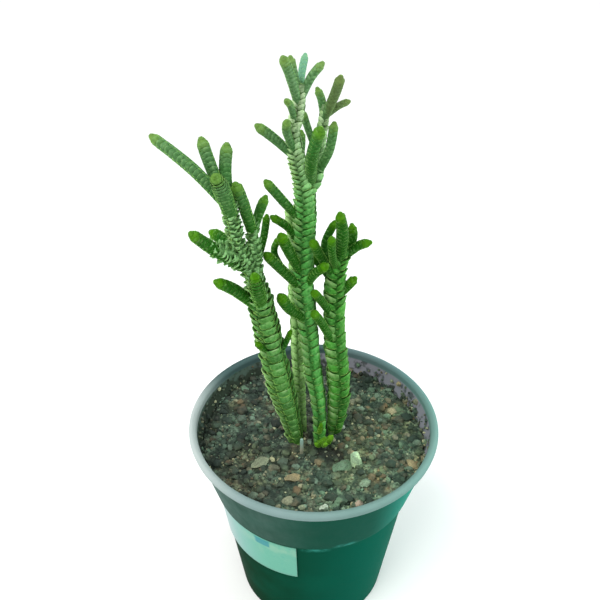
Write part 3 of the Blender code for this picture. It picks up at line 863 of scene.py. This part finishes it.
# %% Courses of the stems
ROUTES = {
    "stem_left": {
        "column": [
            (-6.3, -1.6, 0, 5.6), (-9.5, -3, 18.5, 8.2), (-12, -5, 32, 9.4), (-14.5, -7, 48.5, 9),
            (-16.5, -10, 64, 8.2), (-18, -12, 74, 7.4), (-20, -13, 82, 6), (-22.5, -14.5, 89.5, 5.4),
            (-24, -16, 99.5, 5.2), (-24.5, -17, 105.5, 4.8),
        ],
        "fork": [
            (-18, -12, 74, 5.6), (-18.5, -12.5, 82, 5.6), (-18.5, -11.5, 90, 5), (-19, -11, 96.5, 4.4),
        ],
        "old_branch": [
            (-21.5, -13.5, 84, 6), (-24.6, -15.5, 87.8, 7.2), (-27.3, -17, 89.9, 7),
            (-29.5, -18, 91.8, 5.2), (-31, -19, 93.4, 4),
        ],
    },
    "stem_back": {
        "column": [
            (-4.2, 3.5, 0, 4.2), (-4.9, 5, 13.5, 4.8), (-5.3, 6, 27, 5.2), (-5.8, 6.5, 38, 5.2),
            (-6, 7, 49, 5.2), (-6.5, 8, 60, 5), (-6.5, 8.5, 70, 4.8), (-7, 8.5, 78.5, 4.4),
            (-8, 8.5, 89.5, 4),
        ],
    },
    "stem_centre": {
        "column": [
            (2.3, -2.3, 0, 4.9), (1.7, -0.5, 17.5, 5.6), (-0.4, 0, 32, 6.6), (-1.6, 0, 45, 6.9),
            (-3, -1, 58.5, 7.2), (-4, -1, 70.5, 7.4), (-4, -1, 81, 7.8), (-3.5, -1, 92, 7.6),
            (-3.5, -1, 100, 7.1), (-4.5, -1, 106, 6), (-6, -2, 113, 5.4), (-7, -2, 120, 4.8),
            (-5.5, -1, 126, 4.4), (-5, -1, 132, 3.8),
        ],
        "fork": [
            (-3.5, -1, 100, 5), (-0.5, 0.5, 105, 5.4), (0, 5, 109, 4.6), (1.5, 8.5, 116, 3.8),
            (2.5, 10, 122, 3.4),
        ],
    },
    "stem_right": {
        "column": [
            (7.7, 3.4, 0, 5.8), (9, 2.5, 16.5, 8.4), (8.5, 2, 30, 8.8), (7, 2, 44, 8.4),
            (6.5, 2, 55.5, 8), (6.5, 2, 65.5, 7.8), (7, 2, 72.5, 7), (8.5, 1, 79, 5.6),
        ],
    },
}
SHOOTS = {
    "stem_left": [
        ("column", 101.5, (-26, -21.5, 112.5), (-27, -25, 117.5), 5.3, 0.66),
        ("column", 103.5, (-25.5, -13, 112.5), (-25, -10, 119.5), 4),
        ("column", 100.5, (-29, -14, 114.5), (-31.5, -12, 122), 3.9),
        ("column", 103.5, (-33, -18.5, 116), (-44, -15.5, 124.5), 3.8, 0.88),
        ("fork", 93, (-20.5, -14, 102.5), (-22.5, -16, 110.5), 4),
        ("fork", 93, (-16.5, -9, 99), (-15, -7, 102), 3.3),
        ("column", 81, (-29, -18, 91), (-35, -21, 98), 4.4, 0.85),
        ("column", 84, (-26.5, -10, 89), (-31, -7, 90.5), 4.1),
        ("column", 64, (-24, -15, 75), (-29.5, -17, 79.5), 4.3, 0.85),
        ("column", 66, (-17.5, -18, 77.5), (-18, -21, 84.5), 5.2, 0.62),
        ("column", 78, (-16, -5, 87), (-15, 0, 92), 2.6),
        ("column", 46, (-16.8, -10.5, 50), (-18.6, -12.5, 53), 3, 0.7),
        ("column", 42, (-10, -6.5, 48), (-8, -6, 53), 2.4, 0.8),
    ],
    "stem_back": [
        ("column", 61, (-13, 8, 73.5), (-12, 8, 79.5), 2.5),
    ],
    "stem_centre": [
        ("column", 128, (-7.5, -5, 137.5), (-9.2, -8.5, 143), 3.2),
        ("column", 129, (-6.5, -0.5, 136), (-7.4, -0.5, 140.5), 2.6),
        ("column", 129, (-4.5, 4, 134.5), (-3.5, 8, 138.5), 2.4),
        ("column", 128, (-2, 0, 135), (1, 1, 138.5), 2.8),
        ("column", 123, (-7.5, -5, 129), (-8.5, -8, 131.5), 2.2),
        ("column", 113, (-8.5, -6, 121.5), (-8.5, -9, 126), 2.7),
        ("column", 109, (-4.5, 3, 114), (-4.5, 5, 117), 2.6),
        ("column", 112, (-12, -4, 119), (-16.5, -6, 123.5), 3.2),
        ("fork", 103, (-1.5, -7, 115), (0.5, -11, 124.5), 4),
        ("fork", 105, (3.5, 3, 112), (5, 5, 119.5), 3.2),
        ("fork", 119.5, (5, 8.5, 127), (6.5, 7, 132.5), 3.4),
        ("fork", 119.5, (1.5, 12, 124), (0.3, 13, 127), 2.7),
        ("fork", 120, (6.5, 12, 122.5), (9.3, 14, 123), 2.4),
        ("fork", 110, (-2.5, 8, 117), (-4, 8, 122), 2.4),
        ("column", 66.5, (-0.5, -5, 74.5), (3, -8, 79.5), 3.4),
        ("column", 65.5, (-10, -5.5, 76), (-15, -9, 84), 3.6),
        ("column", 54, (-8, -6, 62), (-11, -8.5, 68.5), 4.1),
        ("column", 71.5, (-8, -6, 83), (-10.5, -9, 90.5), 3.9),
        ("column", 82, (-8.5, -3, 90), (-13, -4, 94), 2.8),
        ("column", 90, (-9.5, -4, 99), (-14.5, -6, 106.5), 3.2),
        ("column", 2, (4.8, -5.2, 3), (6.4, -6.6, 6.5), 3.2, 0.7),
        ("column", 1, (2, -6, 2), (0.8, -7.8, 4), 2.4, 0.7),
        ("column", 1, (3.4, -6.2, 2.5), (4.4, -8.8, 5), 2.6, 0.7),
        ("column", 4, (2.2, -5, 8), (2.6, -6, 12), 2.2, 0.7),
    ],
    "stem_right": [
        ("column", 73, (8, -3, 87), (7, -5, 95.5), 4.4, 0.78),
        ("column", 75.5, (11.5, 4, 81.5), (11.5, 6, 85.5), 3.3),
        ("column", 75.5, (13, 1, 81), (16.5, 0, 83), 3.3),
        ("column", 71.5, (5, -5, 81.5), (4.5, -8, 89), 2.8),
        ("column", 71.5, (3, 5, 78.5), (6, 8, 85.5), 2.9),
        ("column", 68.5, (1.5, -3.5, 80), (-1, -7.5, 87.5), 3.3),
        ("column", 60.5, (10, 1, 65.5), (12.5, 0, 69.5), 3.4),
        ("column", 52.5, (2, -3, 63), (-0.5, -7, 69), 3.2),
        ("column", 40, (2.5, -3.5, 54), (-0.5, -7.5, 61.5), 3.3),
        ("column", 65.5, (1.5, 4.5, 72), (-1.5, 4.5, 75), 2.7),
    ],
}
TURNS = {"stem_left": 22, "stem_back": 50, "stem_centre": 35, "stem_right": 51}  # degrees
STARVED = {"stem_left": (64, 86)}  # from where on a stem gets thin, and where it is thinnest
print(sum(len(shoots) for shoots in SHOOTS.values()), "side shoots on", len(ROUTES), "stems")

# %% [markdown]
# The nodes of a stem are spaced evenly along its curve, wider on the stout old stems than on the young
# shoots, and they crowd together towards an old stem's top, as they do where the plant grew slower.

# %% Walk along a curve
PARTS = 16  # straight parts that each piece of a curve is measured in
CROWDED_BY = 0.52
CROWDED_OVER = (45, 112)  # heights over the soil between which the nodes draw together


def route_points(route):
    """Points in metres from the pot's base; the fourth number is the width."""
    return [Vector(point) * MM + Vector((0, 0, SOIL_LEVEL * MM, 0)) for point in route]


def ramp(value, low, high):
    """0 below low, 1 above high and straight between them."""
    return min(max((value - low) / (high - low), 0.0), 1.0)


def crowding(level):
    """How much closer the nodes of an old stem are near its top than below."""
    return 1 - CROWDED_BY * ramp(level, *CROWDED_OVER)


def walk(points, step, crowded=False):
    """Steps along a smooth curve through the points, equal ones or closer near the top."""
    padded = [points[0]] + list(points) + [points[-1]]
    fine = []
    for before, start, end, after in zip(padded, padded[1:], padded[2:], padded[3:]):
        for part in range(PARTS):
            t = part / PARTS
            fine.append(0.5 * (
                2 * start + (end - before) * t
                + (2 * before - 5 * start + 4 * end - after) * t ** 2
                + (3 * start - before - 3 * end + after) * t ** 3
            ))
    fine = np.array(fine + [points[-1]])
    spans = np.linalg.norm(np.diff(fine[:, :3], axis=0), axis=1)
    if crowded:
        spans = spans / [crowding(level) for level in fine[1:, 2] / MM - SOIL_LEVEL]
    along = np.concatenate([[0], np.cumsum(spans)])
    count = max(3, round(along[-1] / step))
    stops = np.linspace(0, along[-1], count + 1)
    return [Vector([np.interp(stop, along, fine[:, axis]) for axis in range(4)]) for stop in stops]


def at_height(points, height):
    """The point of a route at a height over the soil in mm."""
    height = (SOIL_LEVEL + height) * MM
    for low, high in zip(points, points[1:]):
        if low.z <= height <= high.z:
            return low.lerp(high, (height - low.z) / (high.z - low.z))
    return points[-1]


straight = route_points([(0, 0, 0, 5), (0, 0, 100, 5)])
print("a 100 mm curve at 1.5 mm has", len(walk(straight, 1.5 * MM)), "nodes")

# %% [markdown]
# Leaves stand in opposite pairs. Small seeded differences in size, lean and turn keep the rows from
# looking machined. On the side that the light reaches, the leaves are a little more open and are painted
# paler, as painted light. A shoot ends like a thumb: its last leaves follow a round end and lean in over
# the bud.

# %% Set a pair of leaves
END_SHARE = 0.3  # of a shoot's width, by which its round end passes the last node
FRESH_END = 3.5 * MM  # length of a shoot's fresh tip
SUN_LEAN = 0.08  # how far leaves lean out on the side that the sun reaches
# A leaf's paleness by chance, and the painted light that makes the side facing the lamps paler.
TONE, TONE_SPREAD, SUN_TONE = 0.48, 0.65, 0.42  # a leaf's paleness, by chance and by the sun


def round_end(width, gap):
    """Radius of a shoot at this gap from its last node, and how far its surface leans in."""
    over = max(0.0, (0.5 - END_SHARE) * width - gap)
    return math.sqrt((width / 2) ** 2 - over ** 2), math.asin(2 * over / width)


def freshness(past):
    """Youth of a shoot this far past its last node, which is negative before it."""
    return 0.3 + 0.7 * ramp(past, -FRESH_END, 0)


def pair(heap, model, here, size, leans, angle, tags, chance, even):
    """Set two opposite leaves at a node. The size is how far out, across and up they reach."""
    points, rise, keel = model
    out, across, up = size
    youth, tone = tags
    for half, lean in enumerate(leans):
        spin = Matrix.Rotation(angle + half * math.pi, 4, "Z")
        sunny = -(here @ spin).col[0].x * even
        hinge = Matrix.Translation((0.5 * out, 0, -0.5 * up))
        tilt = hinge @ Matrix.Rotation(lean + SUN_LEAN * max(sunny, 0), 4, "Y") @ hinge.inverted()
        grown = 1 + chance.uniform(-0.05, 0.05) * even
        taller = 1 + chance.uniform(-0.08, 0.08) * even
        scale = Matrix.Diagonal((out * grown, across * grown, up * taller, 1))
        # Painted light: a leaf that faces the light is paler, and one that faces away is darker.
        light = ramp(TONE + (tone - TONE) * TONE_SPREAD + SUN_TONE * sunny, 0, 1)
        rows = np.stack([rise, np.full_like(rise, youth), np.full_like(rise, light), keel], 1)
        heap.put(points, here @ spin @ tilt @ scale, rows)


print("the end of a 4 mm shoot starts", round((0.5 - END_SHARE) * 4, 2), "mm before its last node")

# %% [markdown]
# At every node a short joint and a pair of leaves are set. The frame of directions is carried from node
# to node, so the rows of leaves run straight and don't twist where the stem bends. The upper part of the
# left column is old and starved, so its leaves are narrow there and stand away from a thin stalk, a few
# more to a node.

# %% Clothe a stem
CAP_NODES = (0.16, 0.25)  # nodes past the last one, as shares of the width
BUD_SHARE = 0.475  # radius of the bud, as a share of the width
UPPER_FROM = (60, 6)  # where the upper leaves start, and how blurred that border is
STARVED_LOSS = (0.05, 0.5, 0.4)  # what a starved leaf loses outwards, across and upwards


def clothe(heap, points, step, turn, chance, young, bare=0, starved=None):
    """Set joints and pairs of leaves along a route, but none on its first bare nodes."""
    nodes = walk(points, step * MM, not young)
    end, width = nodes[-1], nodes[-1].w
    onward = (nodes[-1].xyz - nodes[-2].xyz).normalized()
    gaps = [(len(nodes) - 1 - number) * step * MM for number in range(len(nodes))]
    if young:
        for share in CAP_NODES:
            nodes.append(Vector((*(end.xyz + onward * share * width), width)))
            gaps.append(-share * width)
    side = Matrix.Rotation(turn, 3, "Z") @ Vector((1, 0, 0))
    last = len(nodes) - 1
    for number, (node, gap) in enumerate(zip(nodes, gaps)):
        along = (nodes[min(number + 1, last)].xyz - nodes[max(number - 1, 0)].xyz).normalized()
        side = (side - along * side.dot(along)).normalized()
        if number < bare:
            continue
        basis = Matrix((side, along.cross(side), along)).transposed()
        here = Matrix.Translation(node.xyz) @ basis.to_4x4()
        level = node.z / MM - SOIL_LEVEL
        thin = ramp(level, *starved) if starved else 0.0
        length = 2 * step * MM
        if young:
            model, even, youth = YOUNG_LEAF, 0.25, freshness(-gap)
            radius, fold = round_end(node.w, gap)
            length *= 0.55 + 0.45 * 2 * radius / node.w
            tags = (0.45, youth, 0.5, 0.3)
        else:
            model = UPPER_LEAF if level > chance.gauss(*UPPER_FROM) else OLD_LEAF
            even, youth = 1.0, -thin
            radius, fold = node.w / 2, 0.0
            length *= crowding(level)
            tags = (0.1, youth, 0.2, 0.0)
        stalk = radius * (1 - 0.15 * thin)
        heap.put(JOINT, here @ Matrix.Diagonal((stalk, stalk, step * MM, 1)), tags)
        for extra in range(1 + round(2 * thin)):
            leans = [
                chance.gauss(0.03, 0.06) * even + thin * chance.uniform(0.0, 0.6) - fold
                for _ in range(2)
            ]
            full = (radius, radius, length)
            size = [part * (1 - loss * thin) for part, loss in zip(full, STARVED_LOSS)]
            angle = (number + 0.4 * extra) % 2 * math.pi / 2 + chance.gauss(0, 0.05 * even + 0.3 * thin)
            pair(heap, model, here, size, leans, angle, (youth, chance.random()), chance, even)
    if young:
        reach = (0.5 - END_SHARE) * width
        bud = BUD_SHARE * width
        middle = Matrix.Translation(end.xyz - onward * reach) @ basis.to_4x4()
        rows = [(0.6, freshness(bud * point[2] - reach), 0.5, 0.6) for point in BUD[0]]
        heap.put(BUD, middle @ Matrix.Diagonal((bud, bud, bud, 1)), rows)


print("starved leaves keep", [1 - loss for loss in STARVED_LOSS], "of their reach")

# %% [markdown]
# A stem is its column with its forks, all clothed with old leaves, and then every side shoot, clothed
# with young ones. A shoot starts at the middle of the stem that carries it, so it has no leaves there.

# %% Grow the stems
OLD_STEP = 1.7  # mm between the nodes of an old stem, where they don't crowd
YOUNG_STEP = 0.66  # mm between the nodes of a side shoot
SLIM = 0.92  # of a shoot's width, because the photograph's cut-out has a pale halo
ROOTED = 6 * MM  # how far a stem reaches into the soil
HIDDEN = 0.6  # of the stem's radius, over which a shoot has no leaves inside it
NECK = 0.85  # of a shoot's width, where it leaves its stem
TIP_CUT = 0.12  # of a shoot's width, by which its last node stays back from the tip


def grow_stem(name, chance):
    """One stem with its forks and side shoots."""
    heap = Heap(name + "_fine")
    turn = math.radians(TURNS[name])
    routes = {key: route_points(route) for key, route in ROUTES[name].items()}
    foot = routes["column"][0].copy()
    foot.z -= ROOTED
    for key, points in routes.items():
        start = [foot] if key == "column" else []
        clothe(heap, start + points, OLD_STEP, turn, chance, False, starved=STARVED.get(name))
    for carrier, height, bend, tip, width, *taper in SHOOTS[name]:
        root = at_height(routes[carrier], height)
        inside = int(root.w / 2 / (YOUNG_STEP * MM) * HIDDEN)
        width *= SLIM
        root.w = NECK * width * MM
        middle, end = route_points([(*bend, width), (*tip, width * (taper or [1])[0])])
        end = end.lerp(middle, TIP_CUT * width * MM / (end - middle).xyz.length)
        clothe(heap, [root, middle, end], YOUNG_STEP, turn, chance, True, inside)
    return heap.build("leaf")


stems = [grow_stem(name, random.Random(len(name))) for name in ROUTES]
for piece in stems:
    report(piece)

# %% [markdown]
# Scale leaves are fleshy and have a faint bloom, which a sheen gives. On the old columns each has a paler
# tip, partly its own pale margin and partly a painted highlight, and painted shade at its foot, under the
# leaf above, and along its sides. The leaves that face the light are painted paler and end in pale
# painted highlights like beads, and those that face away are painted darker; the thin upper leaves of the
# left stem are grey-green. The shoots are a deep even green that ends in fresh yellow-green. The plant is
# painted paler towards its top, where the light reaches it, but for one shoot in shade, and it is
# yellower just over the soil. The finish reads the numbers that each copy carries, and several noises in
# space lay a grain over it, so that no two leaves match.

# %% Finish of the leaves
def leafy(name, flesh, tip_share):
    """The scale leaves of one stem."""
    paint = Paint(
        name, Specular_IOR_Level=0.04, Sheen_Weight=0.85, Sheen_Roughness=0.22,
        Sheen_Tint=(0.48, 0.92, 0.2),
    )
    mix, step, cloud = paint.mix, paint.step, paint.cloud
    split = paint.node("SeparateColor", None, {0: paint.kept("leaf", "Color")})
    rise, youth, tone = [Wire(paint, socket) for socket in split.socket.node.outputs]
    keel = paint.kept("leaf", "Alpha")
    x, y, height = paint.axes()
    patches, mottle, grain = cloud(7, 3), cloud(0.7, 4), cloud(0.9, 3)
    shoot = step(youth, 0.05, 0.25)
    starved = step(youth, -0.1, -0.8)
    sunny = step(tone, 0.62, 0.92)
    old = paint.coats(
        flesh,
        # Painted light: the old leaves are paler towards the top.
        (step(height, 162, 200), (0.63, 0.8, 0.48)),
        (step(patches, 0.4, 0.7) * 0.3, (0.06, 0.24, 0.075)),
        (starved * 0.8, (0.29, 0.545, 0.235)),
        (step(height, 79, 71.5) * 0.6, (0.07, 0.19, 0.015)),
    )
    # Painted light on the shoots towards the top, kept off one shoot in front on the left, which is in
    # painted shade.
    shadowed = step(y, -3, -7) * step(x, -4.0, -2.5)
    topmost = step(height, 160, 208) * (1 - shadowed * 0.75)
    fresh = mix(topmost, (0.012, 0.1, 0.002), (0.125, 0.255, 0.11))
    fresh = mix(step(patches, 0.45, 0.7) * 0.3, fresh, (0.035, 0.185, 0.03))
    green = mix(shoot, old, fresh)
    # Painted shade at the foot of each leaf, under the leaf above it.
    depth = (0.2 + sunny * 0.14 + shoot * 0.08) * (1 - starved * 0.6)
    groove_shade = mix(depth, green, (0.01, 0.05, 0.006))
    green = mix(step(rise + mottle * 0.3 - 0.15, 0.35, 0.85), groove_shade, green)
    # A pale tip: partly the leaf's own pale margin, partly a painted highlight that is stronger on leaves
    # that face the light.
    edge = step(rise + mottle * 0.4 - 0.2, 0.62, 0.98) * step(keel, 0.5, 0.95)
    edge = edge * (1 - starved * 0.5) * (0.15 + step(tone, 0.35, 0.95) * 0.85)
    # Painted highlight: pale beads on the tips of the leaves that face the light.
    bead_highlight = sunny * step(rise + mottle * 0.3 - 0.15, 0.35, 0.8) * (1 - shoot)
    bead_highlight = bead_highlight * (0.25 + step(keel, 0.25, 0.8) * 0.75)
    end = step(youth + mottle * 0.5 - 0.25, 0.4, 1.25)
    # The fresh ends, painted paler towards the top.
    lit = mix(topmost, (0.1, 0.29, 0.003), (0.2, 0.31, 0.05))
    misty = step(height, 199, 204) * step(y, 1.0, 3.0) * step(x, -1.8, -2.6)
    tanned = step(height, 186, 194) * step(x, 1.5, 3.5) * step(y, 2, 7)
    green = paint.coats(
        green,
        # Painted shade along each leaf's sides and on leaves that face away from the light, and painted
        # light on those that face it.
        (step(keel, 0.65, 0.05) * (0.5 - shoot * 0.34), (0.014, 0.07, 0.008)),
        (step(tone, 0.4, 0.0) * (0.4 - shoot * 0.3), (0.018, 0.075, 0.01)),
        (step(tone, 0.6, 1.0) * (0.4 - shoot * 0.32), (0.19, 0.36, 0.11)),
        (step(cloud(1.0, 3), 0.5, 0.72) * (0.5 - shoot * 0.3), groove_shade),
        (step(grain, 0.48, 0.66) * (0.55 - shoot * 0.15), (0.012, 0.08, 0.006)),
        (step(grain, 0.46, 0.3) * (0.4 - shoot * 0.12), (0.23, 0.43, 0.14)),
        (edge * (tip_share - shoot * (tip_share - 0.24)), (0.4, 0.58, 0.27)),
        (bead_highlight * 0.66, (0.34, 0.52, 0.22)),
        (end * 0.58, lit),
        (shoot * step(height, 84, 80) * 0.7, (0.135, 0.33, 0.02)),
        (misty * 0.8, (0.15, 0.36, 0.24)),
        (tanned * 0.6, (0.11, 0.135, 0.045)),
    )
    paint.feed(
        Base_Color=green, Roughness=0.5 + mottle * 0.2,
        Normal=paint.bump(mottle + cloud(0.25, 3) * 0.5, 0.3, 0.1),
    )
    return paint.material


FLESH = {  # colour of the old leaves, and how much of the pale tips shows
    # The back stem's old leaves are painted much paler, to make up for the shade it stands in between the
    # others.
    "stem_left": ((0.115, 0.325, 0.072), 0.9), "stem_back": ((0.62, 1.0, 0.37), 0.7),
    "stem_centre": ((0.116, 0.47, 0.092), 0.9), "stem_right": ((0.088, 0.375, 0.048), 0.9),
}
for name, piece in zip(ROUTES, stems):
    piece.data.materials.append(leafy(name + "_leaves", *FLESH[name]))
    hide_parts(name)
    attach(piece, "root")
print("four stems are clothed")

# %% [markdown]
# ## Dry stub
# A bare stalk of an old stem stands in front. It starts as a thin cylinder, is extruded upwards in
# uneven lengths with a small resize at each, and its broken top is left ragged.

# %% Model the stub
STUB_X, STUB_Y = -4.3, -9.3
STUB_WIDTH = 1.4
STUB_DEPTH = 4  # in the soil
STUB_LENGTHS = [  # how far each length rises, and how much wider its upper end is
    (3.6, 1.0), (1.0, 0.92), (1.6, 1.0), (0.3, 1.12), (0.3, 0.9), (2.0, 0.95), (2.2, 1.0), (0.9, 0.8),
]
level = (SOIL_LEVEL - STUB_DEPTH) * MM
stub = disc("stub_fine", 14, STUB_WIDTH / 2 * MM, (STUB_X * MM, STUB_Y * MM, level))
for rise, share in STUB_LENGTHS:
    level += rise * MM
    pull(rise * MM)
    resize(share, 1, (STUB_X * MM, STUB_Y * MM, level))
bpy.ops.transform.vertex_random(offset=0.12 * MM, seed=4)
outwards()
close(stub, 50)
report(stub)

paint = Paint("dry_stalk", Roughness=0.8)
_, _, height = paint.axes()
fibres = paint.cloud(0.5, 4, stretch=(1, 1, 0.15))
bark = paint.mix(fibres, (0.12, 0.13, 0.08), (0.36, 0.36, 0.26))
# Painted highlight: the upper part of the stalk is a pale grey-teal.
bark = paint.mix(paint.step(height, 73.5, 78.5) * 0.7, bark, (0.22, 0.42, 0.36))
paint.feed(Base_Color=bark, Normal=paint.bump(fibres, 0.7, 0.2))
stub.data.materials.append(paint.material)
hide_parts("old_stem_stub")
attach(stub, "root")

# %% [markdown]
# ## Floor and light
# The object was cut out of its photograph, so the floor is plain and pale, and it glows a little far
# from the pot, where the lamps don't reach. A table top that is wide enough to fill the view is enough;
# a bevelled disc looks right from the side as well.

# %% Floor
floor = disc("floor", 96, 1.5)
pull(-0.02)
outwards()
close(floor, 30)
apply(floor, "BEVEL", width=0.004, segments=3, limit_method="ANGLE")
paint = Paint("pale_table", Roughness=0.7, Emission_Strength=1.0)
x, y, _ = paint.axes()
far = paint.step(paint.from_axis(x, y), 200, 1200)
paint.feed(
    Base_Color=paint.mix(paint.cloud(30, 3), (0.9, 0.9, 0.89), (0.94, 0.94, 0.93)),
    Emission_Color=paint.mix(far, (0, 0, 0), (0.3, 0.26, 0.27)),
)
floor.data.materials.append(paint.material)
report(floor)

# %% [markdown]
# Two large soft lamps and a pale sky give the light that the photograph has: open shade, with a warm
# light from the front left and a cool one from the right. A sun lamp would draw hard shadows.

# %% Light
def lamp(name, place, aim, size, energy, tint):
    """A square soft lamp."""
    data = bpy.data.lights.new(name, "AREA")
    data.size = size
    data.energy = energy
    data.color = tint
    light = bpy.data.objects.new(name, data)
    light.location = place
    light.rotation_euler = (Vector(aim) - Vector(place)).to_track_quat("-Z", "Y").to_euler()
    bpy.context.scene.collection.objects.link(light)


lamp("key", (-0.38, -0.3, 0.73), (0, 0, 0.1), 0.7, 6.6, (1.0, 0.99, 0.96))
lamp("side", (0.6, 0.1, 0.35), (0, 0, 0.08), 0.5, 3.7, (0.9, 1.0, 0.98))
world = bpy.data.worlds.new("sky")
world.use_nodes = True
sky = world.node_tree.nodes["Background"]
fill(sky.inputs["Color"], (0.9, 0.94, 0.95))
fill(sky.inputs["Strength"], 0.78)
bpy.context.scene.world = world
bpy.context.scene.view_settings.view_transform = "Standard"
print("two lamps and a sky")
